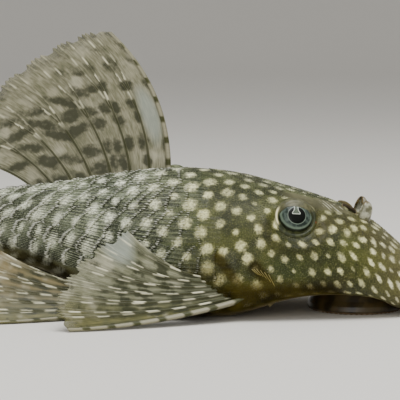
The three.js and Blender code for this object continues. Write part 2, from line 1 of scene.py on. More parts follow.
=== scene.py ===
import bpy
import numpy as np
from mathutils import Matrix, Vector


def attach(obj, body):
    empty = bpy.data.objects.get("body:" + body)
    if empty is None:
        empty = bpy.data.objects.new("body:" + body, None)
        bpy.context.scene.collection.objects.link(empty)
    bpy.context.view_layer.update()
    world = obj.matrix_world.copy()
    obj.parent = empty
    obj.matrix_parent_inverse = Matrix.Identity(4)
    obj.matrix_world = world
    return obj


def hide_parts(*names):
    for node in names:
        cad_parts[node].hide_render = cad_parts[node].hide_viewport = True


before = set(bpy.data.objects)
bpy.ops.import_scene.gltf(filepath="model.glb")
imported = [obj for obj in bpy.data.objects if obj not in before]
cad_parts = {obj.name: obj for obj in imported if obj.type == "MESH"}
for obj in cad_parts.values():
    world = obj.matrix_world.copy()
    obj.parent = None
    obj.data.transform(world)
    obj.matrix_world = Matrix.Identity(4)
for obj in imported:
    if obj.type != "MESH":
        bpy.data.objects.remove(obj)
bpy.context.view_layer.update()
mm = 0.001
print("frame loaded with", len(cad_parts), "nodes")

# The whole fish: its straight front, the gentle curve of its tail and where its lengths meet
fish = {
    "length": 100.0,        # snout tip to the base of the tail fin
    "cap": 1.6,             # how far the body's closed rear end reaches past that
    "clearance": 0.02,      # the nearest that skin and lips come to the floor
    "noseX": 64.6,          # X of the snout tip
    "bendStart": 60.0,      # the tail curves to the left behind here
    "bendRadius": 250.0,
    "headEnd": 34.0,        # rear edge of the head at the level leanLevel
    "headLean": 0.43,       # how far that edge leans forward below the level
    "leanLevel": 10.5,
}


# A smooth curve through (s, size) pairs: cubic pieces in the square root of s, so that it rounds off at the
# snout, each joint's slope taken from its two neighbours.
def profile(*pairs):
    at, size = np.array(pairs, float).T
    root = np.sqrt(at)
    before = np.maximum(np.arange(len(root)) - 1, 0)
    after = np.minimum(np.arange(len(root)) + 1, len(root) - 1)
    slope = (size[after] - size[before]) / (root[after] - root[before])

    def curve(s):
        x = np.sqrt(np.clip(s, 0, None))
        i = np.clip(np.searchsorted(root, x, side="right") - 1, 0, len(root) - 2)
        span = root[i + 1] - root[i]
        t = np.clip((x - root[i]) / span, 0, 1)
        early = (2 * t**3 - 3 * t**2 + 1) * size[i] + (t**3 - 2 * t**2 + t) * span * slope[i]
        late = (3 * t**2 - 2 * t**3) * size[i + 1] + (t**3 - t**2) * span * slope[i + 1]
        return early + late

    return curve


# The body over the distance behind the snout: heights of its back and belly, half its width, the level
# where it is widest, and how full its section is above and below that level (2 is an ellipse, more is
# boxier)
backHeight = profile(
    (0, 4.0), (1, 6.3), (3, 8.8), (6, 11.6), (10, 14.9), (15, 17.6), (20, 19.4), (26, 21.2),
    (32, 22.8), (38, 23.7), (44, 24.0), (50, 23.5), (58, 22.3), (66, 21.1), (75, 19.8), (85, 18.5),
    (93, 18.1), (100, 18.5))
bellyHeight = profile(
    (0, 4.0), (1, 2.0), (3, 0.7), (5, 0.4), (7, 0.9), (9, 2.0), (12, 2.8), (16, 3.1), (21, 3.0), (26, 2.1),
    (31, 0.6), (35, -0.3), (46, -0.3), (52, 1.1), (58, 3.5), (64, 6.0), (70, 8.1), (76, 9.3), (85, 9.4),
    (93, 8.7), (100, 7.9))
halfWidth = profile(
    (0, 0), (1, 5.6), (3, 8.9), (6, 11.2), (10, 12.9), (16, 14.3), (24, 15.4), (31, 15.9), (38, 15.2),
    (46, 13.6), (54, 11.6), (62, 9.1), (70, 6.8), (78, 5.0), (86, 3.8), (94, 2.9), (100, 2.4))
widestLevel = profile(
    (0, 4.0), (3, 3.2), (7, 4.2), (12, 6.0), (24, 7.0), (34, 6.6), (44, 7.4), (54, 9.8), (64, 12.6),
    (75, 14.5), (86, 13.9), (100, 13.2))
backFullness = profile(
    (0, 2.0), (8, 2.1), (16, 2.35), (27, 2.35), (36, 2.0), (44, 1.8), (60, 1.8), (75, 2.0), (100, 2.2))
bellyFullness = profile(
    (0, 2.2), (6, 2.6), (12, 2.7), (24, 2.8), (34, 3.3), (46, 3.3), (60, 2.6), (75, 2.2), (100, 2.2))


# The smooth step t^2 (3 - 2t), 0 up to t = 0 and 1 from t = 1
def smooth(t):
    t = np.clip(t, 0, 1)
    return t * t * (3 - 2 * t)


# From a to b by the share t
def mix(a, b, t):
    return a + (b - a) * t


# A bell curve, 1 at the middle and 1/e one width from it
def bell(x, middle, width):
    return np.exp(-(((x - middle) / width) ** 2))


# Vectors divided by their own lengths
def unit(v):
    return v / np.maximum(np.linalg.norm(v, axis=-1, keepdims=True), 1e-9)


# The larger of two heights, rounded off where they meet over the width k
def softMax(a, b, k):
    return np.maximum(a, b) + np.clip(k - np.abs(a - b), 0, None) ** 2 / (4 * k)


# Points from three fish coordinates
def vector(s, y, z):
    return np.stack(np.broadcast_arrays(s, y, z), -1).astype(float)


# Fish coordinates to the frame: straight as far as bendStart, then round an arc towards +Y
def place(points):
    s, y, z = np.moveaxis(np.asarray(points, float), -1, 0)
    turn = np.maximum(0, s - fish["bendStart"]) / fish["bendRadius"]
    straight = np.minimum(s, fish["bendStart"])
    x = fish["noseX"] - straight - fish["bendRadius"] * np.sin(turn) + y * np.sin(turn)
    return np.stack([x, fish["bendRadius"] * (1 - np.cos(turn)) + y * np.cos(turn), z], -1)


# The bare body: around runs 0 at the belly, 1 at the left's widest level, 2 at the back, 3 at the right's
# and 4 at the belly again. Each quarter is a superellipse, width sin(angle)^p by height cos(angle)^p, with
# p = 2 / fullness, and past the body's end the width closes in a half round.
def bodyAt(s, around):
    s, around = np.broadcast_arrays(np.asarray(s, float), np.asarray(around, float))
    inside = np.minimum(s, fish["length"])
    side = np.where(around <= 2, 1.0, -1.0)
    a = np.where(around <= 2, around, 4 - around)
    low = np.clip(a, 0, 1) * np.pi / 2
    high = np.clip(a - 1, 0, 1) * np.pi / 2
    lowPower, highPower = 2 / bellyFullness(inside), 2 / backFullness(inside)
    wide, level = halfWidth(inside), widestLevel(inside)
    closing = np.sqrt(np.clip(1 - (np.maximum(0, s - fish["length"]) / fish["cap"]) ** 2, 0, 1))
    y = np.where(a < 1, np.sin(low) ** lowPower, np.clip(np.cos(high), 0, 1) ** highPower)
    drop = (level - bellyHeight(inside)) * np.cos(low) ** lowPower
    rise = (backHeight(inside) - level) * np.sin(high) ** highPower
    return np.stack([s, side * wide * y * closing, np.where(a < 1, level - drop, level + rise)], -1)


# The unit normal of two directions on a surface
def crossed(along, across):
    return unit(np.cross(along, across))


# The outward normal of the bare body: the cross product of two short chords through the point
def bareNormal(s, around):
    alongStep, aroundStep = 0.1, 0.02
    ahead = place(bodyAt(np.maximum(0, s - alongStep), around))
    behind = place(bodyAt(s + alongStep, around))
    below = place(bodyAt(s, np.clip(around - aroundStep, 0, 4)))
    above = place(bodyAt(s, np.clip(around + aroundStep, 0, 4)))
    return crossed(behind - ahead, above - below)


# Both eyes: where they are, where they look, and the skin that holds them
eye = {
    "s": 24.0, "y": 9.9, "z": 15.9,
    "radius": 2.95,
    "boxy": 3.2,            # how flat the front of the eye is: 2 is a ball
    "rise": 25.0,           # degrees above level that the eye looks
    "forward": 10.0,        # degrees ahead of straight sideways that it looks
    "dome": 3.72,           # radius of the skin that arches over the eye
    "blend": 1.1,           # width over which that dome runs into the head
    "rim": 3.35,            # radius of the rim's crest, across the line of sight
    "crest": 1.72,          # how far the crest stands out along the line of sight
    "slope": 3.6,           # how far the slope below the rim runs out over the cheek
    "slopeRise": 1.75,      # how much further out than the crest that slope may end
    # The socket inside the rim: distances from the line of sight before and after the skin is drawn in, and
    # how far out along the line it may then lie
    "socketFrom": [0, 2.1, 2.6, 2.95, 3.35],
    "socketTo": [0, 2.2, 2.72, 2.98, 3.35],
    "socketOut": [-1.6, -0.8, 0.5, 1.32, 1.72],
}
nostril = {
    "s": 14.1, "y": 3.9, "radius": 0.95, "depth": 1.25,
    "swell": 0.16,          # height of the low ring of skin round the pit
}
gill = {
    "s": 27.6, "y": 9.6,    # the middle of each fold, under the head
    "half": 2.6,            # half its length across the fish
    "width": 0.34, "height": 0.6,
}


# The middle of an eye in the frame, its line of sight, and the directions forward and up across that line
def eyeFrame(side):
    forward, rise = np.radians(eye["forward"]), np.radians(eye["rise"])
    centre = place([eye["s"], side * eye["y"], eye["z"]])
    look = np.array([
        np.sin(forward) * np.cos(rise), side * np.cos(forward) * np.cos(rise), np.sin(rise)])
    ahead = unit(np.array([1.0, 0, 0]) - look * look[0])
    up = np.cross(look, ahead) * (-1 if np.cross(look, ahead)[2] < 0 else 1)
    return centre, look, ahead, up


# How far the skin stands out by a nostril, over r, the distance from the pit's middle in shares of its
# radius: a bell round the pit less a smooth step down into it
def nostrilLift(bare, around):
    r = np.hypot(bare[..., 0] - nostril["s"], np.abs(bare[..., 1]) - nostril["y"]) / nostril["radius"]
    lift = nostril["swell"] * bell(r, 1.45, 0.3) - nostril["depth"] * smooth((1.15 - r) / 0.55)
    return lift * (np.abs(around - 2) < 0.7)


# How far the skin moves at the gill openings: a bell along the body, ended by a smooth step. It is negative,
# and the normal's z is turned over where it is used, so that the skin of the underside bulges downwards.
def gillLift(bare, around):
    fold = bell(bare[..., 0], gill["s"], gill["width"])
    fold = fold * smooth((gill["half"] - np.abs(np.abs(bare[..., 1]) - gill["y"])) / 0.6)
    return -gill["height"] * fold * (np.abs(around - 2) > 1.2)


# The skin round one eye. Along its normal it rises to a dome round the eye's middle where it lies under
# that dome. In front of the eye it is held under a slope that starts at the rim's crest, measured out along
# the line of sight, and inside the rim it sinks behind the ball as a socket.
def eyeSkin(points, normals, around, side):
    centre, look = eyeFrame(side)[:2]
    d = points - centre
    along = (d * normals).sum(-1)
    beyond = (d * d).sum(-1) - eye["dome"] ** 2
    reach = np.sqrt(np.clip(along**2 - beyond, 0, None)) - along
    near = (side * (2 - around) > 0) & (np.linalg.norm(d, axis=-1) < 12)
    raised = softMax(0, np.where(near, reach, -9), eye["blend"])
    points = points + normals * raised[..., None]
    d = points - centre
    out = d @ look
    flat = d - out[..., None] * look
    r = np.linalg.norm(flat, axis=-1)
    outward = flat / np.maximum(r, 1e-6)[..., None]
    cap = eye["crest"] + eye["slopeRise"] * smooth((r - eye["rim"]) / eye["slope"])
    lowered = -softMax(-out, -cap, 0.5)
    inFront = near & (out > -0.6)
    reached = smooth((eye["rim"] + eye["slope"] + 0.8 - r) / 0.8)
    out = np.where(inFront, mix(out, lowered, reached), out)
    within = inFront & (r < eye["rim"])
    out = np.where(within, np.minimum(out, np.interp(r, eye["socketFrom"], eye["socketOut"])), out)
    r = np.where(within, np.interp(r, eye["socketFrom"], eye["socketTo"]), r)
    moved = centre + out[..., None] * look + outward * r[..., None]
    return np.where(inFront[..., None], moved, points)


# The skin with the head's own forms: nostril pits, folds at the gill openings, and the skin round the eyes
def shaped(s, around):
    s, around = np.broadcast_arrays(np.asarray(s, float), np.asarray(around, float))
    bare = bodyAt(s, around)
    normals = bareNormal(s, around)
    points = place(bare) + normals * nostrilLift(bare, around)[..., None]
    points = points + normals * gillLift(bare, around)[..., None] * np.array([1, 1, -1.0])
    for side in (1, -1):
        points = eyeSkin(points, normals, around, side)
    points[..., 2] = np.maximum(points[..., 2], fish["clearance"])
    return points


# Points of the shaped skin with their outward normals, from short chords as for the bare body
def surface(s, around):
    alongStep, aroundStep = 0.096, 0.012
    along = shaped(s + alongStep, around) - shaped(np.maximum(0, s - alongStep), around)
    above, below = np.clip(around + aroundStep, 0, 4), np.clip(around - aroundStep, 0, 4)
    return shaped(s, around), crossed(along, shaped(s, above) - shaped(s, below))


# Distances over the body, looked up from a table: along from the snout, measured half way up the side, and
# across from the middle of the back, positive on the right
perQuarter = 100            # columns of the table to each quarter round the body
tableS = np.linspace(0, fish["length"] + fish["cap"], 205)
tableAround = np.linspace(0, 4, 4 * perQuarter + 1)
tableBody = bodyAt(tableS[:, None], tableAround[None, :])
backColumn, sideColumn = 2 * perQuarter, 3 * perQuarter // 2
roundSteps = np.linalg.norm(np.diff(tableBody, axis=1), axis=-1)
tableRound = np.concatenate([np.zeros((len(tableS), 1)), np.cumsum(roundSteps, 1)], 1)
tableRound -= tableRound[:, backColumn:backColumn + 1]
alongSteps = np.linalg.norm(np.diff(tableBody[:, sideColumn], axis=0), axis=-1)
tableAlong = np.concatenate([[0], np.cumsum(alongSteps)])


# Those two distances at any point, between the table's four nearest values
def distances(s, around):
    i = np.clip(s / tableS[-1] * (len(tableS) - 1), 0, len(tableS) - 1.001)
    j = np.clip(around * perQuarter, 0, 4 * perQuarter - 0.001)
    i0, j0 = i.astype(int), j.astype(int)
    fi, fj = i - i0, j - j0
    low = mix(tableRound[i0, j0], tableRound[i0, j0 + 1], fj)
    high = mix(tableRound[i0 + 1, j0], tableRound[i0 + 1, j0 + 1], fj)
    return np.interp(s, tableS, tableAlong), mix(low, high, fi)


# The pale spots: small and round on the head, larger on the flank, drawn out into slanting bars to the rear
spots = {
    "seed": 11,
    "spacing": profile(
        (0, 2.1), (12, 2.4), (24, 2.6), (30, 2.95), (36, 3.4), (46, 3.6), (60, 3.4), (100, 2.8)),
    "size": 0.285,          # radius as a share of the spacing
    "sizes": (0.8, 1.16),   # smallest and largest share of that radius
    "lights": (0.6, 1.0),   # dimmest and brightest
    "jitter": 0.4,          # how far chance moves a spot, in spacings
    "rounds": 12,           # how often the spots are pushed apart
    "turn": 17.0,           # degrees that the rows of spots are turned on the body
    "few": 0.22,            # share of the spots that are smaller and dimmer
    "cheekTilt": -36.0,     # degrees that the long axes tilt, turned by chance by about tiltSpread
    "backTilt": 30.0,
    "flankTilt": 62.0,
    "tiltSpread": 14.0,
}


# Points pushed apart until they lie evenly: each moves off every neighbour nearer than reach by a share of
# what is missing
def spread(points, rounds, reach):
    for _ in range(rounds):
        gap = points[:, None] - points[None]
        far = np.linalg.norm(gap, axis=-1) + np.eye(len(points)) * 9
        push = np.clip(reach - far, 0, None) / far * 0.2
        points = points + (push[..., None] * gap).sum(1)
    return points


# Spot centres on a triangular net whose mesh is the spacing, moved by chance and spread again: columns are
# along, across, radius, brightness, how much longer than wide, and the tilt of the long axis.
def spotCentres():
    chance = np.random.default_rng(spots["seed"])
    unitAlong = np.concatenate([[0], np.cumsum(np.diff(tableAlong) / spots["spacing"](tableS[1:]))])
    # The net is larger than the body on every side, and what lies past it is dropped
    i, j = np.meshgrid(np.arange(-34, 64), np.arange(-34, 34))
    i, j = i.ravel(), j.ravel()
    u = i + 0.5 * (j % 2)
    v = j * 0.87
    turn = np.radians(spots["turn"])
    u, v = u * np.cos(turn) - v * np.sin(turn), u * np.sin(turn) + v * np.cos(turn)
    kept = (u > -1) & (u < unitAlong[-1] + 1) & (np.abs(v) < 17)
    net = np.stack([u[kept], v[kept]], -1)
    net = spread(net + chance.uniform(-1, 1, net.shape) * spots["jitter"], spots["rounds"], 0.97)
    along = np.interp(net[:, 0], unitAlong, tableAlong, left=-9, right=999)
    s = np.interp(along, tableAlong, tableS)
    spacing = spots["spacing"](s)
    across = net[:, 1] * spacing
    kept = (along > -1) & (along < tableAlong[-1] - 1) & (np.abs(across) < 34)
    s, along, across, spacing = s[kept], along[kept], across[kept], spacing[kept]
    fromBack = np.abs(across)
    small = chance.random(s.size) < spots["few"]
    onHead = 1 - 0.14 * smooth((38 - s) / 8)
    radius = spacing * spots["size"] * onHead * chance.uniform(*spots["sizes"], s.size)
    radius = radius * np.where(small, 0.7, 1.0)
    bright = chance.uniform(*spots["lights"], s.size) * np.where(small, 0.8, 1.0)
    bright = mix(bright, 1.0, 0.5 * smooth((s - 36) / 8))
    bright = bright * (1 - 0.28 * smooth((14 - fromBack) / 5) * smooth((40 - s) / 6))
    snout = smooth((9 - s) / 7)
    rear = smooth((s - 50) / 16)
    forehead = smooth((18 - fromBack) / 7) * smooth((27 - s) / 4) * (1 - snout)
    stretch = 1 + 0.16 * chance.random(s.size) + 0.24 * snout + 0.4 * rear + 0.34 * forehead
    ahead = mix(spots["cheekTilt"], spots["flankTilt"], forehead)
    behind = mix(spots["backTilt"], spots["flankTilt"], smooth((fromBack - 5) / 6))
    tilt = np.where(s < 25, ahead, behind) + chance.normal(0, spots["tiltSpread"], s.size)
    return np.stack([along, across, radius, bright, stretch, np.radians(tilt)], -1)


# How far inside a spot each point lies: 1 at a centre, 0 at an edge, negative outside, with that spot's
# brightness. The distance is measured in the spot's own long and short axes.
def spotField(s, around, centres):
    along, across = distances(s, around)
    shape = along.shape
    along, across = along.ravel(), across.ravel()
    order = np.argsort(along)
    field, bright = np.full(along.size, -1.0), np.zeros(along.size)
    for part in np.array_split(order, max(1, along.size // 4000)):
        near = np.abs(centres[:, 0] - along[part].mean()) < 6 + np.ptp(along[part]) / 2
        a, b, radius, light, stretch, tilt = centres[near].T
        side = np.sign(b)
        du = along[part][:, None] - a
        dv = (across[part][:, None] - b) * side
        long = du * np.cos(tilt) + dv * np.sin(tilt)
        short = dv * np.cos(tilt) - du * np.sin(tilt)
        far = np.hypot(long / (radius * stretch), short / (radius * stretch**-0.25))
        best = far.argmin(1)
        rows = np.arange(len(part))
        field[part] = 1 - far[rows, best]
        bright[part] = light[best]
    return field.reshape(shape), bright.reshape(shape)


centres = spotCentres()


# Grooves on the side of the head, darkened with painted shade, each from (s, z) to (s, z) with its half
# width:
# the gill cover's rear edge and the fold that the cheek spines lie in
grooves = [((36.4, 10.4), (32.2, 5.0), 1.1), ((30.4, 9.0), (26.4, 4.0), 1.3)]

# Patches on top of the head, each a middle (s, across) and half axes: the bare skin beside the eye and
# ahead of it, and the part of that skin with fine folds
patches = {
    "besideEye": ((21.2, 7.0), (4.4, 1.9)),
    "aheadOfEye": ((17.2, 5.2), (3.2, 1.9)),
    "folds": ((17.2, 6.0), (1.7, 1.7)),
}


# Distance from a patch's middle in its own half axes: 1 on its edge
def fromPatch(name, s, across):
    middle, half = patches[name]
    return np.hypot((s - middle[0]) / half[0], (across - middle[1]) / half[1])


# How deep in shade the body is at its height z: the larger of smooth steps and bells for the jaw and belly,
# the grooves, the flank behind the gill cover, the eye's lower side and the nostrils
def lowShade(s, y, z, up):
    limit = mix(2.8, 8.0, smooth((s - 11) / 8)) - 2.2 * smooth((s - 34) / 8)
    low = smooth((limit - z) / 2.9) * smooth((66 - s) / 14)
    low = np.maximum(low, 0.9 * smooth((up - 1.12) / 0.28) * smooth((s - 40) / 8))
    for start, end, wide in grooves:
        run = np.array(end) - np.array(start)
        share = np.clip(((s - start[0]) * run[0] + (z - start[1]) * run[1]) / (run @ run), 0, 1)
        off = np.hypot(s - start[0] - share * run[0], z - start[1] - share * run[1])
        low = np.maximum(low, 0.85 * smooth(1.35 - off / wide) * (up > 0.5))
    low = np.maximum(low, 0.75 * smooth((11 - z) / 4) * bell(s, 39.5, 5.5) * (up > 0.5))
    fromEye = np.hypot(s - eye["s"], z - eye["z"])
    low = np.maximum(low, 0.32 * bell(fromEye, 4.6, 1.2) * (z < eye["z"]))
    pit = np.hypot(s - nostril["s"], np.abs(y) - nostril["y"])
    return np.maximum(low, 0.9 * smooth((nostril["radius"] * 1.05 - pit) / 0.4) * (up < 0.7))


# Everything that the body's materials read at a point of the body, from smooth steps in s, in up, which is
# how far round from the back the point lies, and in the distance across
def marks(s, around):
    s, around = np.broadcast_arrays(np.asarray(s, float), np.asarray(around, float))
    field, bright = spotField(s, around, centres)
    body = bodyAt(s, around)
    up = np.abs(around - 2)
    across = np.abs(distances(s, around)[1])
    fromBare = np.minimum(fromPatch("besideEye", s, across), fromPatch("aheadOfEye", s, across))
    belly = smooth((up - mix(1.42, 1.62, smooth((s - 36) / 8))) / 0.3)
    grey = 0.9 * smooth((s - 37) / 18) + 0.3 * smooth((0.55 - up) / 0.5) * smooth((s - 8) / 20)
    flat = smooth((1.0 - up) / 0.7) * smooth((70 - s) / 16)
    return {
        "spot": field, "spotLight": bright,
        "low": lowShade(s, body[..., 1], body[..., 2], up),     # how deep in shade
        "grey": np.clip(grey, 0, 1),                            # from olive to grey
        "gold": smooth((15 - s) / 11) * (1 - belly),            # the golden tint of the snout
        "belly": belly,
        "streaky": smooth((s - 37) / 12) * mix(1.0, 0.45, flat),    # how far rows of odontodes streak it
        "bare": smooth((1.3 - fromBare) / 0.6),
        "wrinkled": smooth(1.7 - fromPatch("folds", s, across)),
    }


# Puts a mesh of numpy points (mm), quads and triangles into Blender, with point attributes and one UV map
def makePiece(name, points, quads=None, triangles=None, values=None, uv=None):
    points = np.asarray(points, float).reshape(-1, 3) * mm
    quads = np.zeros((0, 4), int) if quads is None else np.asarray(quads)
    triangles = np.zeros((0, 3), int) if triangles is None else np.asarray(triangles)
    corners = np.concatenate([quads.ravel(), triangles.ravel()])
    sizes = np.concatenate([np.full(len(quads), 4), np.full(len(triangles), 3)])
    starts = np.concatenate([[0], np.cumsum(sizes)[:-1]])
    mesh = bpy.data.meshes.new(name)
    mesh.vertices.add(len(points))
    mesh.vertices.foreach_set("co", points.astype(np.float32).ravel())
    mesh.loops.add(len(corners))
    mesh.loops.foreach_set("vertex_index", corners.astype(np.int32))
    mesh.polygons.add(len(sizes))
    mesh.polygons.foreach_set("loop_start", starts.astype(np.int32))
    mesh.polygons.foreach_set("use_smooth", np.ones(len(sizes), bool))
    mesh.update(calc_edges=True)
    for key, value in (values or {}).items():
        attribute = mesh.attributes.new(key, "FLOAT", "POINT")
        attribute.data.foreach_set("value", np.asarray(value, np.float32).ravel())
    if uv is not None:
        layer = mesh.uv_layers.new(name="OFBake")
        layer.data.foreach_set("uv", np.asarray(uv, np.float32).reshape(-1, 2)[corners].ravel())
    piece = bpy.data.objects.new(name, mesh)
    bpy.context.scene.collection.objects.link(piece)
    return piece


# Quads of a grid of points, rows by columns, where the columns, and the rows too, may close on themselves
def gridQuads(rows, columns, closed=False, looped=False):
    lastRow, lastColumn = rows if looped else rows - 1, columns if closed else columns - 1
    r, c = np.meshgrid(np.arange(lastRow), np.arange(lastColumn), indexing="ij")
    row, nextRow, nextColumn = r * columns, (r + 1) % rows * columns, (c + 1) % columns
    return np.stack([row + c, nextRow + c, nextRow + nextColumn, row + nextColumn], -1).reshape(-1, 4)


# Six times the volume that quads enclose, the sum of a x b . c and a x c . d: positive if they face outwards
def signedVolume(points, quads):
    a, b, c, d = (points[quads[:, i]] for i in range(4))
    return (np.cross(a, b) * c).sum() + (np.cross(a, c) * d).sum()


# Two like sheets of points, front and back, rows by columns, joined all round their rim
def closedSheet(front, back):
    n, m = front.shape[:2]
    face = gridQuads(n, m)
    rows, columns = np.arange(n), np.arange(m)
    borders = (rows * m, rows[::-1] * m + m - 1, columns[::-1], (n - 1) * m + columns)
    edges = [np.stack([a[:-1], a[1:], a[1:] + n * m, a[:-1] + n * m], -1) for a in borders]
    both = np.concatenate([front.reshape(-1, 3), back.reshape(-1, 3)])
    quads = np.concatenate([face[:, ::-1], face + n * m, *edges])
    return both, quads if signedVolume(both, quads) > 0 else quads[:, ::-1]


# Rings of points closed by a fan of triangles at a first and a last point. Returns points, quads and
# triangles.
def closedRings(first, rings, last):
    rows, columns = rings.shape[:2]
    points = np.concatenate([[first], rings.reshape(-1, 3), [last]])
    quads = gridQuads(rows, columns, closed=True) + 1
    ring = np.arange(columns)
    beside = (ring + 1) % columns
    start, end = 1 + (rows - 1) * columns, 1 + rows * columns
    near = np.stack([0 * ring, ring + 1, beside + 1], -1)
    far = np.stack([0 * ring + end, beside + start, ring + start], -1)
    triangles = np.concatenate([near, far])
    if signedVolume(points, quads) < 0:
        quads, triangles = quads[:, ::-1], triangles[:, ::-1]
    return points, quads, triangles


# One value for each of those points
def ringValues(first, values, last):
    return np.concatenate([[first], np.ravel(values), [last]])


# Many tapered spikes as one mesh. Each path is the straight line from root to tip plus four times bow at
# half way; round it stand rings of points whose radius falls from root to tip, closed by a point at either
# end. Returns points, quads, triangles and the share of the length at each point.
def spikes(roots, tips, bows, radius, tipShare=0.15, rings=7, sides=8):
    roots, tips, bows = (np.broadcast_arrays(roots, tips, bows)[i].astype(float)[:, None] for i in range(3))
    radius = np.broadcast_to(np.asarray(radius, float), len(roots))[:, None, None, None]
    # A spike of few rings tapers from its last ring straight to its point
    share = np.linspace(0, 1, rings + 1)[:-1] if rings < 4 else np.linspace(0, 1, rings)
    t = share[None, :, None]
    path = mix(roots, tips, t) + 4 * bows * t * (1 - t)
    ahead = unit(tips - roots + 4 * bows * (1 - 2 * t))
    skew = unit(np.array([0.31, 0.17, 0.94]))       # a direction that no spike takes
    sideways = unit(np.cross(ahead, skew))
    upward = np.cross(ahead, sideways)
    turn = (np.arange(sides) / sides * 2 * np.pi)[None, None, :, None]
    wide = radius * mix(1.0, tipShare, t[..., None] ** 1.3)
    out = np.cos(turn) * sideways[:, :, None] + np.sin(turn) * upward[:, :, None]
    ring = path[:, :, None] + wide * out
    n, per = len(ring), rings * sides
    points = np.concatenate([ring.reshape(n, per, 3), roots, tips], 1)
    one = gridQuads(rings, sides, closed=True)[:, ::-1]
    around = np.arange(sides)
    beside = (around + 1) % sides
    low = np.stack([np.full(sides, per), beside, around], -1)
    high = np.stack([np.full(sides, per + 1), per - sides + around, per - sides + beside], -1)
    offset = (np.arange(n) * (per + 2))[:, None, None]
    quads = (one[None] + offset).reshape(-1, 4)
    triangles = (np.concatenate([low, high])[None] + offset).reshape(-1, 3)
    along = np.concatenate([np.repeat(share, sides), [0, 1]])
    return points.reshape(-1, 3), quads, triangles, np.tile(along, n)


# What every piece ends with: its material, its body and the solids it stands for
def finishPiece(piece, material, slotName, *nodes):
    piece.data.materials.append(material)
    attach(piece, "root")
    if nodes:
        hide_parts(*nodes)


# Sets a socket to a value, or links it from another node's socket
def give(tree, socket, value):
    if isinstance(value, bpy.types.NodeSocket):
        tree.links.new(value, socket)
    else:
        socket.default_value = value


# A node by its type. Each input is one of its settings, or a socket by its name, or by its number as at0,
# at1.
def addNode(tree, kind, **inputs):
    node = tree.nodes.new(kind)
    for key, value in inputs.items():
        if hasattr(node, key):
            setattr(node, key, value)
        elif key.startswith("at"):
            give(tree, node.inputs[int(key[2:])], value)
        else:
            give(tree, node.inputs[key.replace("_", " ")], value)
    return node


def sums(tree, operation, a, b=0.0, c=None, clamp=False):
    node = addNode(tree, "ShaderNodeMath", operation=operation, use_clamp=clamp, at0=a, at1=b)
    if c is not None:
        give(tree, node.inputs[2], c)
    return node.outputs[0]


def times(tree, a, b, clamp=False):
    return sums(tree, "MULTIPLY", a, b, clamp=clamp)


def plus(tree, a, b):
    return sums(tree, "ADD", a, b)


def less(tree, a, b, clamp=False):
    return sums(tree, "SUBTRACT", a, b, clamp=clamp)


def larger(tree, a, b):
    return sums(tree, "MAXIMUM", a, b)


# a times b, plus c
def scaled(tree, a, b, c, clamp=False):
    return sums(tree, "MULTIPLY_ADD", a, b, c, clamp)


# 0 up to low and 1 from high, a smooth step between
def steps(tree, value, low, high):
    node = addNode(tree, "ShaderNodeMapRange", interpolation_type="SMOOTHSTEP", at0=value, at1=low, at2=high)
    return node.outputs[0]


# From low to high as a value goes from 0 to 1
def ranged(tree, value, low, high):
    return addNode(tree, "ShaderNodeMapRange", at0=value, at3=low, at4=high).outputs[0]


def blendColours(tree, share, a, b):
    return addNode(tree, "ShaderNodeMix", data_type="RGBA", at0=share, at6=a, at7=b).outputs[2]


# A base colour turned to another one where a mask is 1, by a strength
def tint(tree, base, colour, mask, strength=None):
    return blendColours(tree, mask if strength is None else times(tree, mask, strength), base, colour)


# Colour a up to the value low, b from the value high
def ramp(tree, value, low, high, a, b):
    return blendColours(tree, steps(tree, value, low, high), a, b)


def attribute(tree, name):
    return addNode(tree, "ShaderNodeAttribute", attribute_name=name).outputs["Fac"]


def objectPlace(tree):
    return addNode(tree, "ShaderNodeTexCoord").outputs["Object"]


def noise(tree, scale, detail=2.0, roughness=0.5):
    node = addNode(tree, "ShaderNodeTexNoise", at0=objectPlace(tree), Scale=scale, Detail=detail,
                   Roughness=roughness)
    return node.outputs["Fac"]


# A colour given as the 0 to 255 values that a screen shows, made linear
def shade(red, green, blue):
    screen = np.array([red, green, blue]) / 255
    linear = np.where(screen <= 0.04045, screen / 12.92, ((screen + 0.055) / 1.055) ** 2.4)
    return (*linear, 1.0)


def shades(colours):
    return {name: shade(*colour) for name, colour in colours.items()}


def newMaterial(name, **settings):
    material = bpy.data.materials.new(name)
    material.use_nodes = True
    tree = material.node_tree
    shader = tree.nodes["Principled BSDF"]
    for key, value in settings.items():
        shader.inputs[key.replace("_", " ")].default_value = value
    return material, tree, shader


def feed(tree, shader, **links):
    for key, value in links.items():
        tree.links.new(value, shader.inputs[key.replace("_", " ")])


def bumped(tree, shader, height, strength, distance):
    node = addNode(tree, "ShaderNodeBump", Strength=strength, Distance=distance * mm, Height=height)
    tree.links.new(node.outputs[0], shader.inputs["Normal"])


# The colours of the body, as a screen shows them
skinLook = shades({
    "dark": (43, 47, 16), "olive": (74, 77, 30), "green": (44, 58, 20), "brown": (66, 58, 24),
    "grey": (48, 55, 33), "greyPale": (124, 132, 107), "gold": (108, 101, 66),
    "speckle": (130, 128, 78), "valley": (14, 18, 5), "crest": (162, 168, 136),
    # spotLow is the spots' painted shade colour, and spotSnout lightens the snout's spots as a painted wet
    # highlight
    "spot": (226, 223, 165), "spotLow": (150, 130, 60), "spotGrey": (243, 247, 222),
    "spotSnout": (248, 243, 200),
    # under and underPale are painted shade, laid over the jaw, the belly's edge, the grooves and the other
    # places that the attribute low marks
    "under": (34, 27, 2), "underPale": (64, 55, 16),
    "bare": (98, 95, 68), "bareDeep": (70, 68, 44), "fold": (190, 188, 164),
    # belly and bellyPale are the belly's own pale beige, darkened towards brown by painted shade
    # the last colour here is the odontodes' pale dentine tips, partly a painted glint
    "belly": (112, 98, 70), "bellyPale": (158, 146, 114), "dentineAndGlint": (248, 247, 232),
})
foldPitch = 0.4 * mm        # from one fine fold of skin to the next


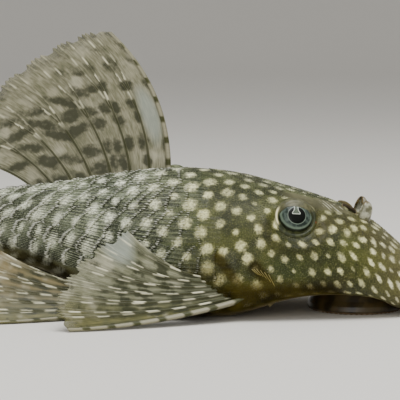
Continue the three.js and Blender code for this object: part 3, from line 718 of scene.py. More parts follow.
# Speckled olive, greyer to the rear: broad patches of green and brown, a golden snout, and fine pale and
# dark specks
def baseColour(tree, mottle):
    look, grey = skinLook, attribute(tree, "grey")
    broad = noise(tree, 75.0)
    speckle = noise(tree, 4300.0, 1.0, 0.6)
    olive = ramp(tree, mottle, 0.36, 0.66, look["dark"], look["olive"])
    olive = tint(tree, olive, look["green"], steps(tree, broad, 0.5, 0.7), 0.6)
    olive = tint(tree, olive, look["brown"], steps(tree, broad, 0.46, 0.3), 0.45)
    olive = tint(tree, olive, look["gold"], attribute(tree, "gold"), 0.6)
    rear = ramp(tree, mottle, 0.4, 0.66, look["grey"], look["greyPale"])
    base = blendColours(tree, grey, olive, rear)
    pale = blendColours(tree, grey, look["speckle"], look["crest"])
    base = tint(tree, base, pale, steps(tree, speckle, 0.52, 0.75), 0.42)
    return tint(tree, base, look["valley"], steps(tree, speckle, 0.46, 0.26), 0.55)


# How much of a spot shows: the distance inside it, made ragged by three sizes of noise, then a smooth step,
# dimmed by the spot's own brightness, by flecks, on bare skin and in shade
def spotMask(tree, mottle, edgeGrain):
    grain = noise(tree, 3300.0, 2.0, 0.6)
    flecks = noise(tree, 1600.0, 2.0, 0.6)
    field = attribute(tree, "spot")
    for source, strength in ((grain, edgeGrain), (mottle, 0.4), (flecks, 0.8)):
        field = plus(tree, field, times(tree, less(tree, source, 0.5), strength))
    streaky = attribute(tree, "streaky")
    mask = steps(tree, field, scaled(tree, streaky, -0.05, -0.4), scaled(tree, streaky, 0.1, 0.66))
    mask = times(tree, mask, attribute(tree, "spotLight"))
    mask = times(tree, mask, scaled(tree, grain, 1.5, 0.2), clamp=True)
    mask = times(tree, mask, scaled(tree, flecks, 3.0, -0.5, clamp=True))
    hidden = larger(tree, attribute(tree, "bare"), attribute(tree, "belly"))
    mask = times(tree, mask, less(tree, 1.0, hidden, clamp=True))
    return times(tree, mask, scaled(tree, attribute(tree, "low"), -0.85, 1.0))


# Cream spots: brown-gold in shade, whiter to the rear, brightest on the snout, where the extra brightness is
# a painted wet highlight
def spotColour(tree):
    look = skinLook
    colour = tint(tree, look["spot"], look["spotLow"], attribute(tree, "low"), 0.8)
    colour = tint(tree, colour, look["spotGrey"], attribute(tree, "grey"))
    return tint(tree, colour, look["spotSnout"], times(tree, attribute(tree, "gold"), 1.5, clamp=True))


# Fine pale folds of skin behind the nostril: a sine wave that rises forward and up, broken up by noise
def foldMask(tree, mottle):
    at = addNode(tree, "ShaderNodeSeparateXYZ", at0=objectPlace(tree)).outputs
    rise = plus(tree, times(tree, at["X"], 0.8), at["Z"])
    rise = scaled(tree, rise, 2 * np.pi / foldPitch, times(tree, mottle, 9.0))
    fold = times(tree, steps(tree, sums(tree, "SINE", rise), 0.1, 0.9), attribute(tree, "wrinkled"))
    return times(tree, fold, steps(tree, noise(tree, 850.0, 1.0), 0.44, 0.56))


# The colour of the body, shared by the skin, the rims of the eyes, the plates and their odontodes. Streak
# Height is 1 on the crest of a row of odontodes and 0 between two rows, Streaks is how strongly that shows,
# and Lightness turns it to pale dentine with a painted glint.
def markingsGroup():
    tree = bpy.data.node_groups.new("bodyMarkings", "ShaderNodeTree")
    for name, start in (("Edge Grain", 0.3), ("Streaks", 0.0), ("Streak Height", 0.5), ("Lightness", 0.0)):
        socket = tree.interface.new_socket(name, in_out="INPUT", socket_type="NodeSocketFloat")
        socket.default_value = start
    tree.interface.new_socket("Color", in_out="OUTPUT", socket_type="NodeSocketColor")
    given = tree.nodes.new("NodeGroupInput").outputs
    out = tree.nodes.new("NodeGroupOutput").inputs
    look = skinLook
    mottle = noise(tree, 260.0, 3.0, 0.55)
    # Painted shade: under and underPale where the attribute low is 1
    shaded = ramp(tree, mottle, 0.36, 0.66, look["under"], look["underPale"])
    colour = tint(tree, baseColour(tree, mottle), shaded, attribute(tree, "low"), 0.92)
    crest = times(tree, given["Streaks"], steps(tree, given["Streak Height"], 0.6, 0.95))
    valley = times(tree, given["Streaks"], steps(tree, given["Streak Height"], 0.55, 0.1))
    colour = tint(tree, colour, look["crest"], crest, 0.6)
    colour = tint(tree, colour, spotColour(tree), spotMask(tree, mottle, given["Edge Grain"]))
    colour = tint(tree, colour, look["valley"], valley, 0.9)
    bare = ramp(tree, mottle, 0.35, 0.68, look["bareDeep"], look["bare"])
    colour = tint(tree, colour, bare, attribute(tree, "bare"), 0.85)
    colour = tint(tree, colour, look["fold"], foldMask(tree, mottle), 0.85)
    # The belly: its own pale beige, darkened by painted shade
    belly = ramp(tree, mottle, 0.3, 0.66, look["belly"], look["bellyPale"])
    colour = tint(tree, colour, belly, attribute(tree, "belly"))
    tree.links.new(tint(tree, colour, look["dentineAndGlint"], given["Lightness"]), out["Color"])
    return tree


markings = markingsGroup()


# What skin and plates share: the markings' colour, roughness that varies with fine noise, and gloss that
# fades in shade
def dressBody(tree, shader, rough, gloss, fade, **given):
    group = addNode(tree, "ShaderNodeGroup", node_tree=markings, Edge_Grain=0.7, **given)
    feed(tree, shader, Base_Color=group.outputs["Color"], Roughness=ranged(tree, noise(tree, 900.0), *rough),
         Specular_IOR_Level=scaled(tree, attribute(tree, "low"), -fade, gloss))


def pebbles(tree, scale):
    return addNode(tree, "ShaderNodeTexVoronoi", at0=objectPlace(tree), Scale=scale).outputs["Distance"]


def skinMaterial():
    material, tree, shader = newMaterial("skinFinish")
    dressBody(tree, shader, (0.34, 0.6), 0.2, 0.19)
    bumped(tree, shader, scaled(tree, noise(tree, 420.0, 3.0), 0.7, pebbles(tree, 2900.0)), 0.35, 0.08)
    return material


# Ridges of odontodes run back along each plate, as a sine wave over the plate's own value ridge
def plateMaterial():
    material, tree, shader = newMaterial("plateFinish")
    across = plus(tree, attribute(tree, "ridge"), times(tree, noise(tree, 420.0), 0.45))
    wave = scaled(tree, sums(tree, "SINE", times(tree, across, 2 * np.pi)), 0.5, 0.5)
    strength = times(tree, attribute(tree, "streaky"), steps(tree, noise(tree, 240.0), 0.3, 0.55))
    dressBody(tree, shader, (0.3, 0.55), 0.3, 0.28, Streaks=strength, Streak_Height=wave)
    bumped(tree, shader, scaled(tree, wave, 0.8, times(tree, pebbles(tree, 3200.0), 0.5)), 0.6, 0.09)
    return material


# Tips are pale dentine with a painted glint, most of all inside a spot and along the rear edge of each plate,
# and dull in shade
def odontodeMaterial():
    material, tree, shader = newMaterial("odontodeFinish", Roughness=0.18)
    tip = sums(tree, "POWER", attribute(tree, "tip"), 1.4)
    shown = larger(tree, steps(tree, attribute(tree, "spot"), -0.3, 0.5), attribute(tree, "edging"))
    tip = times(tree, tip, scaled(tree, shown, 0.82, 0.18))
    lit = scaled(tree, attribute(tree, "low"), -0.85, 1.0)
    group = addNode(tree, "ShaderNodeGroup", node_tree=markings, Edge_Grain=0.7, Streak_Height=1.0,
                    Streaks=times(tree, attribute(tree, "streaky"), 0.22), Lightness=times(tree, tip, lit))
    feed(tree, shader, Base_Color=group.outputs["Color"], Specular_IOR_Level=times(tree, lit, 0.8))
    return material


skinFinish = skinMaterial()
plateFinish = plateMaterial()
odontodeFinish = odontodeMaterial()
print("materials of the body ready")

# The skin's grid: rings on the snout tip, millimetres from ring to ring on the head and behind it, and
# points round each ring
skinGrid = {"snoutEnd": 3, "snoutRings": 16, "head": 0.27, "trunk": 0.5, "around": 300}


# Rings close together on the snout tip, then evenly along the head and more widely along the body
def skinRings():
    tip = skinGrid["snoutEnd"] * (np.arange(skinGrid["snoutRings"]) / skinGrid["snoutRings"]) ** 2
    head = np.arange(skinGrid["snoutEnd"], fish["headEnd"], skinGrid["head"])
    body = np.arange(fish["headEnd"], fish["length"], skinGrid["trunk"])
    end = fish["length"] + fish["cap"] * np.sin(np.linspace(0, 0.5, 7) * np.pi)
    return np.concatenate([tip, head, body, end])


# One skin over head, trunk and tail stalk, in rings from the nose to the tail
def makeSkin():
    s, around = np.meshgrid(
        skinRings()[1:], np.arange(skinGrid["around"]) / skinGrid["around"] * 4, indexing="ij")
    rings = shaped(s, around)
    values = {key: ringValues(v[0, 0], v, v[-1, 0]) for key, v in marks(s, around).items()}
    points, quads, triangles = closedRings(place([0, 0, backHeight(0)]), rings, rings[-1].mean(0))
    skin = makePiece("skin", points, quads, triangles, values)
    finishPiece(skin, skinFinish, "skin", "head", "trunk", "tail_stalk")
    print("skin:", len(points), "points")


makeSkin()

# The bony plates: five rows a side, each overlapping the next one behind and raised at its rear edge
plates = {
    "rows": 5, "columns": 25,
    "first": 0.74, "last": 1.92,    # where the rows start and end: 1 is the widest level, 2 the back
    "pitch": fish["length"] / 37.5,
    "overlap": 0.3,                 # share of the pitch that lies over the plate behind
    "lift": 0.2,                    # how far the rear edge stands up
    "sink": 0.45,                   # how deep that edge goes down into the plate behind
    "slant": [0.1, 0.5, 0.75, 0.95, 1.0],       # lean of the rear edges, forward with height, row by row
    "ridges": [9, 9, 8, 7, 6],      # ridges of odontodes on a plate, row by row
    "along": 12, "across": 26,      # points on one plate
}


# One row of plates on one side. p runs along a plate and q up across it: s follows p and leans with q, the
# plate stands off the skin by about lift * p^0.8, and its edges curl down into the skin. Returns s, around,
# points and normals.
def plateRow(row, side, columns, p, q):
    step = (plates["last"] - plates["first"]) / plates["rows"]
    a0 = plates["first"] + step * row
    a = a0 + step * mix(-0.04, 1.04, q)
    middle = fish["headEnd"] + plates["pitch"] * np.asarray(columns, float)[:, None, None]
    at = np.minimum(middle, fish["length"] - 1)
    tall = np.abs(distances(at, np.full_like(at, a0 + step))[1] - distances(at, np.full_like(at, a0))[1])
    corner = 0.5 * (np.abs(2 * q - 1) ** 3.5)
    reach = plates["pitch"] * (mix(0, 1 + plates["overlap"], p) - corner * p * 0.55)
    level = bodyAt(at, np.full_like(at, a0 + step / 2))[..., 2]
    lean = fish["headLean"] * smooth((fish["headEnd"] + 16 - middle) / 14) * (level - fish["leanLevel"])
    s = middle + reach + lean - plates["slant"][row] * (q - 0.5) * tall * smooth((middle - 34) / 6)
    s, a, p, q = np.broadcast_arrays(s, a, p, q)
    s = np.minimum(s, fish["length"] + 0.4)
    around = a if side > 0 else 4 - a
    normal = bareNormal(s, around)
    rise = mix(-0.12, plates["lift"], p**0.8) * smooth((middle - 35) / 14)
    rounded = 1 - np.abs(2 * q - 1) ** 6
    edge = mix(-0.16, rise, rounded) * np.where(p > 0.999, 0.5, 1.0) + 0.05 * np.sin(np.pi * q)
    return s, around, place(bodyAt(s, around)) + normal * edge[..., None], normal


# All the plates of one side: a grid of points for each, with one more row that goes down behind its rear
# edge
def makePlates(side, name):
    allPoints, allValues = [], []
    p = np.linspace(0, 1, plates["along"])[None, :, None]
    q = np.linspace(0, 1, plates["across"])[None, None, :]
    for row in range(plates["rows"]):
        s, around, points, normal = plateRow(row, side, np.arange(plates["columns"]), p, q)
        hidden = points[:, -1:] - normal[:, -1:] * plates["sink"]
        allPoints.append(np.concatenate([points, hidden], 1))
        values = marks(s, around)
        values["ridge"] = np.broadcast_to(q * plates["ridges"][row], s.shape)
        allValues.append({key: np.concatenate([v, v[:, -1:]], 1).ravel() for key, v in values.items()})
    points = np.concatenate(allPoints)
    count, rows, columns = points.shape[:3]
    quads = gridQuads(rows, columns)[None] + (np.arange(count) * rows * columns)[:, None, None]
    quads = quads.reshape(-1, 4)[:, ::side]
    values = {key: np.concatenate([one[key] for one in allValues]) for key in allValues[0]}
    finishPiece(makePiece(name, points, quads, None, values), plateFinish, "skin")
    print(name + ":", len(quads), "faces")


makePlates(1, "platesLeft")
makePlates(-1, "platesRight")

# The odontodes: short curved spikes of dentine. On the head they are tiny and lie in rings, on the plates
# they stand in rows along the ridges, longer ones along each plate's rear edge.
odontodes = {
    "seed": 5,
    "headStep": 0.37, "headGap": 0.41,          # from ring to ring, and from one to the next in a ring
    "headTall": 0.27, "headThick": 0.07,
    "plateTall": 0.5, "plateThick": 0.085,
    "edgeTall": 0.72, "edgeThick": 0.13,
    "lean": 66.0,           # degrees from upright, towards the tail
    "patch": 0.0015,        # radius of each one's disc on the baking map
}


# Each odontode stands on its root's normal, leans back along the body and bends further back towards its
# tip. Its patch on the baking map is a small disc round its root's place on an unwrap of the body.
def makeOdontodes(name, s, around, points, normals, tall, thick, tipLight, edging):
    back = place(bodyAt(s + 0.1, around)) - place(bodyAt(np.maximum(s - 0.1, 0), around))
    back = unit(back - normals * (back * normals).sum(-1, keepdims=True))
    lean = np.radians(odontodes["lean"])
    tall = tall[:, None]
    roots = points - normals * 0.05
    tips = points + (normals * np.cos(lean) + back * np.sin(lean)) * tall
    bows = (normals * 0.09 - back * 0.04) * tall
    sides = 3
    shape, quads, triangles, along = spikes(roots, tips, bows, thick, 0.3, 2, sides)
    per = len(shape) // len(s)
    values = {key: np.repeat(value, per) for key, value in marks(s, around).items()}
    # tip and edging: how pale the tip is, and the rear-edge rows kept pale outside spots too, as pale dentine
    # with a painted glint
    values["tip"] = along * np.repeat(tipLight, per)
    values["edging"] = np.repeat(edging, per)
    turn = np.arange(sides) / sides * 2 * np.pi
    ring = np.stack([np.cos(turn), np.sin(turn)], -1)
    patch = np.concatenate([ring, ring * 0.5, [[0.9, 0.1], [0.0, 0.0]]]) * odontodes["patch"]
    uv = np.stack([around / 4, s / tableS[-1]], -1)[:, None] + patch[None]
    finishPiece(makePiece(name, shape, quads, triangles, values, uv), odontodeFinish, "skin")
    print(name + ":", len(s), "odontodes")


# Roots in rings over the head, left out on the bare skin, in the nostrils, round the eyes and under the head
def headOdontodes():
    chance = np.random.default_rng(odontodes["seed"])
    s = np.arange(1.2, 37.5, odontodes["headStep"])
    width = distances(s, np.full_like(s, 3.35))[1]
    counts = (2 * width / odontodes["headGap"]).astype(int)
    ring = np.repeat(np.arange(len(s)), counts)
    number = np.arange(len(ring)) - np.repeat(np.cumsum(counts) - counts, counts)
    around = 0.65 + 2.7 * (number + 0.5 * (ring % 2) + chance.uniform(-0.3, 0.3, len(ring))) / counts[ring]
    s = s[ring] + chance.uniform(-0.12, 0.12, len(ring))
    body = bodyAt(s, around)
    pit = np.hypot(body[:, 0] - nostril["s"], np.abs(body[:, 1]) - nostril["y"])
    lean = fish["headEnd"] + 1.5 + fish["headLean"] * (body[:, 2] - fish["leanLevel"])
    kept = (marks(s, around)["bare"] < 0.35) & (pit > nostril["radius"] * 1.5) & (s < lean)
    for side in (1, -1):
        centre, look = eyeFrame(side)[:2]
        d = place(body) - centre
        out = d @ look
        r = np.linalg.norm(d - out[:, None] * look, axis=-1)
        kept &= ~((r < eye["rim"] + 0.75) & (out > 0))
    s, around = s[kept], around[kept]
    points, normals = surface(s, around)
    size = chance.uniform(0.8, 1.2, len(s)) * mix(0.8, 1.15, smooth((s - 4) / 28))
    tall, thick = size * odontodes["headTall"], size * odontodes["headThick"]
    makeOdontodes("odontodesHead", s, around, points, normals, tall, thick, np.full(len(s), 0.6), 0 * s)


# Roots along the ridges of every plate, and longer ones in pairs on its rear edge
def plateOdontodes(side, name):
    chance = np.random.default_rng(odontodes["seed"] + side)
    along, atEdge = np.arange(1, 9) / 9.0, np.array([0.97])
    parts = []
    for row in range(plates["rows"]):
        ridges = plates["ridges"][row]
        for p, wide, kind in ((along, 1, 0.0), (atEdge, 2, 1.0)):
            q = (np.arange(ridges * wide) + 0.25) / wide
            q = (q + (0.25 if wide > 1 else 0)) / ridges
            shape = (plates["columns"], len(p), len(q))
            p3 = np.clip(p[None, :, None] + chance.uniform(-0.045, 0.045, shape), 0.02, 0.99)
            q3 = np.clip(q[None, None, :] + chance.uniform(-0.012, 0.012, shape), 0.02, 0.98)
            found = plateRow(row, side, np.arange(plates["columns"]), p3, q3)
            parts.append([a.reshape(-1, *a.shape[3:]) for a in found] + [np.full(p3.size, kind)])
    s, around, points, normals, edge = (np.concatenate(a) for a in zip(*parts))
    grown = smooth((s - 33) / 12)
    size = chance.uniform(0.75, 1.2, len(s)) * mix(0.6, 1.0, grown)
    tall = size * mix(odontodes["plateTall"], odontodes["edgeTall"], edge)
    thick = size * mix(odontodes["plateThick"], odontodes["edgeThick"], edge)
    # Rear-edge and full-grown odontodes get paler tips, partly a painted glint
    pale = mix(0.75, 1.0, edge) * mix(0.7, 1, grown)
    makeOdontodes(name, s, around, points, normals, tall, thick, pale, edge * grown)


headOdontodes()
plateOdontodes(1, "odontodesLeft")
plateOdontodes(-1, "odontodesRight")


# The colours of the eye and its rim, as a screen shows them
eyeLook = shades({
    "iris": (34, 44, 38), "irisPale": (74, 86, 78), "ring": (108, 124, 106), "outside": (26, 31, 16),
    "silver": (140, 152, 136), "pupil": (5, 8, 4),
    "flap": (58, 68, 58), "flapPale": (108, 116, 102), "flapEdge": (206, 212, 198),
    "rim": (34, 40, 16), "rimPale": (66, 70, 38), "lid": (70, 70, 45), "lidPale": (98, 96, 68),
    "cream": (244, 236, 182), "red": (150, 84, 52),
})


# A band between two radii: one smooth step up and one down
def band(tree, value, low, inner, outer, high):
    return times(tree, steps(tree, value, low, inner), steps(tree, value, high, outer))


# Rings of colour by the distance from the middle of the pupil or the iris, and the lined flap over the pupil
def eyeMaterial():
    material, tree, shader = newMaterial("eyeFinish", Roughness=0.3, Specular_IOR_Level=0.12,
                                         Coat_Weight=0.12, Coat_Roughness=0.02)
    look = eyeLook
    fromPupil, fromIris, flap = (attribute(tree, name) for name in ("fromPupil", "fromIris", "flap"))
    colour = ramp(tree, noise(tree, 1500.0, 3.0), 0.35, 0.65, look["iris"], look["irisPale"])
    colour = tint(tree, colour, look["ring"], band(tree, fromIris, 2.12, 2.34, 2.44, 2.56), 0.75)
    colour = tint(tree, colour, look["outside"], steps(tree, fromIris, 2.46, 2.62))
    colour = tint(tree, colour, look["silver"], band(tree, fromPupil, 1.42, 1.47, 1.5, 1.58), 0.55)
    colour = tint(tree, colour, look["pupil"], steps(tree, fromPupil, 1.46, 1.4))
    lines = addNode(tree, "ShaderNodeTexWave", at0=objectPlace(tree), bands_direction="DIAGONAL",
                    Scale=1500.0, Distortion=1.5).outputs["Fac"]
    lined = blendColours(tree, lines, look["flap"], look["flapPale"])
    colour = tint(tree, colour, lined, steps(tree, flap, 0.03, 0.08))
    colour = tint(tree, colour, look["flapEdge"], band(tree, flap, -0.03, 0.01, 0.06, 0.1))
    feed(tree, shader, Base_Color=colour)
    return material


# The flap over the pupil
pupilFlap = {
    "half": 0.34, "widening": 0.34,     # half its width, and how much wider it gets round widestAt
    "widestAt": 0.32, "bell": 0.4,
    "middle": -0.1, "bottom": 0.18, "top": 2.3,
}


# An eye in polar rings: out along the sight by radius (1 - share^boxy)^(1 / boxy) in front, where share is
# the distance from the sight in radii, and a plain half ball behind. The flap hangs down over the pupil,
# its half width a bell over the height v.
def makeEye(side, name, node):
    centre, look, ahead, up = eyeFrame(side)
    turns, rings, rearRings = 120, 70, 14
    radius = eye["radius"]
    share = np.sin(np.linspace(0, 1, rings) * np.pi / 2)[1:]
    behind = np.linspace(0, 1, rearRings)[1:-1] * np.pi / 2
    r = np.concatenate([share * radius, radius * np.cos(behind)])[:, None]
    bulge = radius * (1 - share ** eye["boxy"]) ** (1 / eye["boxy"])
    out = np.concatenate([bulge, -radius * np.sin(behind)])
    out = out[:, None] + np.zeros(turns)
    turn = np.arange(turns) / turns * 2 * np.pi
    u, v = r * np.cos(turn), r * np.sin(turn)
    grid = centre + u[..., None] * ahead + v[..., None] * up + out[..., None] * look
    half = pupilFlap["half"] + pupilFlap["widening"] * bell(v, pupilFlap["widestAt"], pupilFlap["bell"])
    flap = np.minimum(half - np.abs(u - pupilFlap["middle"]), v - pupilFlap["bottom"])
    inFront, farOff = out > 0, 3.0
    values = {
        "fromPupil": ringValues(0, np.where(inFront, r, farOff), farOff),
        "fromIris": ringValues(0, np.where(inFront, np.hypot(u / 1.06, v - 0.24), farOff), farOff),
        "flap": ringValues(-0.08, np.where(inFront & (v < pupilFlap["top"]), flap, -1), -1),
    }
    points, quads, triangles = closedRings(centre + look * radius, grid, centre - look * radius)
    finishPiece(makePiece(name, points, quads, triangles, values), eyeFinish, "eyes", node)


eyeFinish = eyeMaterial()
makeEye(1, "eyeLeft", "eye_left")
makeEye(-1, "eyeRight", "eye_right")

# The ring of skin round each eye. Its inner edge lies on the ball and comes down over the top of the pupil
# as a thin, half clear lid: its distance from the line of sight is given at angles from straight ahead over
# the top.
rims = {
    "turns": [-180, -150, -90, -30, -8, 12, 45, 75, 100, 125, 150, 180],
    "inner": [2.85, 2.68, 2.48, 2.66, 2.78, 2.4, 1.6, 1.34, 1.38, 1.72, 2.25, 2.85],
    "outer": 3.95, "crestAt": 3.2, "crest": 1.98, "crestWidth": 0.62,
    "lidMiddle": 95.0,      # angle at the middle of the lid
    "creamMiddle": 178.0,   # angle at the middle of the pale arc
}


# The body's markings outside, then a dark ring, the lid, a pale arc behind the eye and a fleck of red
# before it
def rimMaterial():
    material, tree, shader = newMaterial("eyeRimFinish", Specular_IOR_Level=0.3, Roughness=0.4)
    look = eyeLook
    group = addNode(tree, "ShaderNodeGroup", node_tree=markings, Edge_Grain=0.55)
    r = attribute(tree, "fromPupil")
    mottle = noise(tree, 1300.0)
    dark = ramp(tree, mottle, 0.35, 0.65, look["rim"], look["rimPale"])
    colour = ramp(tree, r, 3.62, 3.3, group.outputs["Color"], dark)
    lid = ramp(tree, mottle, 0.3, 0.7, look["lid"], look["lidPale"])
    colour = tint(tree, colour, lid, attribute(tree, "lid"))
    colour = tint(tree, colour, look["cream"], attribute(tree, "cream"))
    colour = tint(tree, colour, look["red"], attribute(tree, "red"))
    solid = larger(tree, steps(tree, attribute(tree, "inward"), 0.0, 0.55), steps(tree, r, 2.5, 2.9))
    feed(tree, shader, Base_Color=colour, Alpha=ranged(tree, solid, 0.88, 1.0))
    return material


# A rim in rings from its inner edge to its outer one: it follows the ball a little above its surface,
# swells to the crest by a parabola and dips under the head's skin, and at the top it follows the dome
# instead, down to the lid. The markings beside it are looked up where the body has the same height.
def makeRim(side, name):
    centre, look, ahead, up = eyeFrame(side)
    turns, rings = 160, 34
    turn = np.arange(turns) / turns * 360 - 180
    inner = np.interp(turn, rims["turns"], rims["inner"])
    p = np.linspace(0, 1, rings)[:, None]
    over = smooth((85 - np.abs(turn - rims["lidMiddle"])) / 50)
    r = mix(inner, mix(rims["outer"], eye["dome"] - 0.1, over), p)
    ball = eye["radius"] * (1 - np.minimum(r / eye["radius"], 1) ** eye["boxy"]) ** (1 / eye["boxy"])
    onBall = np.where(r < eye["radius"], ball + 0.1 * smooth(p / 0.12) - 0.06, -9)
    fromCrest = np.clip(np.abs(r - rims["crestAt"]) / rims["crestWidth"], 0, 9)
    swell = rims["crest"] - 0.5 * fromCrest**2
    arch = np.sqrt(np.clip(eye["dome"] ** 2 - r**2, 0, None)) + 0.05 - 0.3 * smooth((r - 3.3) / 0.3)
    lidded = mix(np.maximum(onBall, 0), arch, smooth((r - 2.0) / 0.9))
    out = mix(softMax(onBall, swell, 0.35), lidded, over)
    angle = np.radians(turn)
    points = (centre + (r * np.cos(angle))[..., None] * ahead + (r * np.sin(angle))[..., None] * up
              + out[..., None] * look)
    s = fish["noseX"] - points[..., 0]
    around = np.full(s.shape, 2 - side * 0.45)
    for _ in range(12):
        away = points[..., 2] - place(bodyAt(s, around))[..., 2]
        around = around + side * np.clip(away, -1, 1) * 0.05
    values = marks(s, around)
    top = smooth((points[..., 2] - centre[2] - 1.2) / 0.9) * smooth((3.6 - r) / 0.7)
    behind = np.abs((turn + 360) % 360 - rims["creamMiddle"])
    cream = bell(r, 3.2, 0.15) * smooth((34 - behind) / 18)
    red = 0.7 * bell(r, 3.45, 0.12) * bell(turn, -12, 2.5)
    values.update(fromPupil=r, inward=p + 0 * r, lid=np.clip(top, 0, 1), cream=cream, red=red)
    # In this order the faces point away from the ball
    quads = gridQuads(rings, turns, closed=True)[:, ::-side]
    finishPiece(makePiece(name, points, quads, None, values), rimFinish, "skin")


rimFinish = rimMaterial()
makeRim(1, "eyeRimLeft")
makeRim(-1, "eyeRimRight")
print("eyes made")

# The sucker disc under the head: broad soft lips with papillae, the mouth slot and its teeth, and two
# barbels
disc = {
    "s": 12.9, "halfLength": 8.1, "halfWidth": 8.6,
    # From the middle of the underside out over the rim and in over the top: shares of the radius, and
    # heights
    "shares": [0, 0.2, 0.36, 0.6, 0.76, 0.86, 0.97, 1.0, 0.98, 0.92, 0.86, 0.5],
    "heights": [1.2, 1.2, 1.2, 1.02, 0.5, 0.03, 0.03, 0.52, 1.3, 2.1, 3.3, 3.38],
    "papilla": 0.13,        # how far the papillae stand out
    "papillaRings": 13, "papillaPairs": 28,
    "mouthS": 10.6, "mouthLength": 1.5, "mouthWidth": 3.6, "mouthDepth": 1.0,
    "teeth": 34,            # teeth in each of the four rows
}
lipsLook = shades({
    # outer and outerPale: the lips' brown outside and the barbels, darkened to near black by painted shade
    # under the head
    "soft": (132, 104, 72), "softPale": (172, 146, 112), "outer": (34, 26, 8), "outerPale": (70, 58, 30),
    "slot": (84, 40, 30), "tooth": (226, 218, 190), "toothTip": (150, 84, 34),
})


# The lips' outer side and the barbels take a near black brown that is partly painted shade under the head
def lipsMaterial():
    material, tree, shader = newMaterial("lipsFinish", Roughness=0.38, Subsurface_Weight=0.15,
                                         Subsurface_Scale=0.001)
    look = lipsLook
    mottle = noise(tree, 500.0, 3.0)
    soft = ramp(tree, mottle, 0.3, 0.7, look["soft"], look["softPale"])
    outer = ramp(tree, mottle, 0.35, 0.65, look["outer"], look["outerPale"])
    colour = tint(tree, soft, outer, attribute(tree, "outer"))
    feed(tree, shader, Base_Color=tint(tree, colour, look["slot"], attribute(tree, "slot")))
    bumped(tree, shader, noise(tree, 1800.0), 0.4, 0.06)
    return material


# The disc in rings: height over the share of the disc's radius, the mouth slot pressed in as half an egg,
# and papillae, bumps |sin| x |sin| in staggered rings on the underside that end short of the mouth.
def makeDisc():
    turns, rings = 240, 110
    along = np.linspace(0, 1, rings)[1:, None]
    knots = np.linspace(0, 1, len(disc["shares"]))
    share = np.interp(along, knots, disc["shares"])
    turn = np.arange(turns) / turns * 2 * np.pi
    ring = share * disc["papillaRings"]
    stagger = np.floor(ring) * np.pi / 2
    bump = (np.abs(np.sin(ring * np.pi)) * np.abs(np.sin(turn * disc["papillaPairs"] + stagger))) ** 0.8
    under = smooth((0.62 - along) / 0.05) * smooth((share - 0.3) / 0.2)
    s = disc["s"] - disc["halfLength"] * share * np.cos(turn)
    y = disc["halfWidth"] * share * np.sin(turn)
    inSlot = 1 - ((s - disc["mouthS"]) / disc["mouthLength"]) ** 2 - (y / disc["mouthWidth"]) ** 2
    pressed = np.sqrt(np.clip(inSlot, 0, 1)) * smooth((0.5 - along) / 0.05)
    z = (np.interp(along, knots, disc["heights"]) + disc["papilla"] * (1 - bump) * under
         + disc["mouthDepth"] * pressed)
    grid = place(np.stack([s, y, np.maximum(z, fish["clearance"])], -1))
    first, last = (place([disc["s"], 0, disc["heights"][end]]) for end in (0, -1))
    points, quads, triangles = closedRings(first, grid, last)
    outer = np.broadcast_to(smooth((along - 0.5) / 0.12), z.shape)
    values = {"outer": ringValues(0, outer, 1), "slot": ringValues(0, smooth(pressed / 0.5), 0)}
    piece = makePiece("lips", points, quads, triangles, values)
    finishPiece(piece, lipsFinish, "lips", "sucker_mouth")


# A short stout feeler at each corner of the disc, laid back along its rim
def makeBarbel(side, name):
    root = place([[disc["s"] - 1.6, side * disc["halfWidth"] * 0.86, 0.62]])
    tip = place([[disc["s"] + 1.2, side * disc["halfWidth"] * 0.94, 0.5]])
    shape, quads, triangles = spikes(root, tip, np.array([[0, 0, -0.05]]), 0.44, 0.4, 14, 14)[:3]
    values = {"outer": np.ones(len(shape)), "slot": np.zeros(len(shape))}
    finishPiece(makePiece(name, shape, quads, triangles, values), lipsFinish, "lips")


# Four combs of fine curved teeth, two before and two behind the mouth's middle line
def makeTeeth():
    roots, tips = [], []
    share = np.linspace(0, 1, disc["teeth"])[:, None]
    for side in (-1, 1):
        for jaw in (-1, 1):
            inner = np.array([disc["mouthS"] + jaw * 1.05, side * 0.35, 1.35])
            outer = np.array([disc["mouthS"] + jaw * 0.65, side * 2.9, 1.35])
            root = mix(inner, outer, share)
            roots.append(root + np.array([0, 0, 0.25]))
            tips.append(root + np.array([-jaw * 0.5, 0, -0.5]))
    roots, tips = place(np.concatenate(roots)), place(np.concatenate(tips))
    shape, quads, triangles, along = spikes(roots, tips, np.array([[0, 0, -0.08]]), 0.055, 0.5, 3, 4)
    material, tree, shader = newMaterial("teethFinish", Roughness=0.25)
    colour = blendColours(tree, attribute(tree, "tip"), lipsLook["tooth"], lipsLook["toothTip"])
    feed(tree, shader, Base_Color=colour)
    finishPiece(makePiece("teeth", shape, quads, triangles, {"tip": along}), material, "lips")


lipsFinish = lipsMaterial()
makeDisc()
makeBarbel(-1, "barbelRight")
makeBarbel(1, "barbelLeft")
makeTeeth()
print("sucker disc made")

# The flap between the openings of each nostril and the wall round them, the hooked spines behind each
# cheek, the bristles of the snout and the knob before the dorsal fin
nostrilFlap = {
    "s": 12.0, "y": 3.9,
    "halfWidth": 1.25, "halfLength": 1.4, "height": 3.6,
    "thick": 0.16,          # half its thickness
    "wrap": 95.0,           # degrees that it curls round to either side
    "lean": -0.2,
    "turn": 42.0,           # degrees that its front is turned outwards
}
nostrilWall = {
    "behind": 0.2, "halfLength": 1.2, "halfWidth": 1.02,    # its middle behind the nostril's, and its size
    "thick": 0.13, "tall": 0.34,        # half its thickness and height
    "lean": 0.32,           # how much higher it stands on the side towards the middle of the head
    "wave": 0.05,
}
cheekSpines = {
    "count": 6, "s": 26.7, "z": 5.0, "stepS": 0.3, "stepZ": 0.33,   # the first root, and from one to the next
    "rise": 62, "fan": 5,   # degrees above level that the first one points, and less for each next one
    "length": 3.9, "radius": 0.1,
}
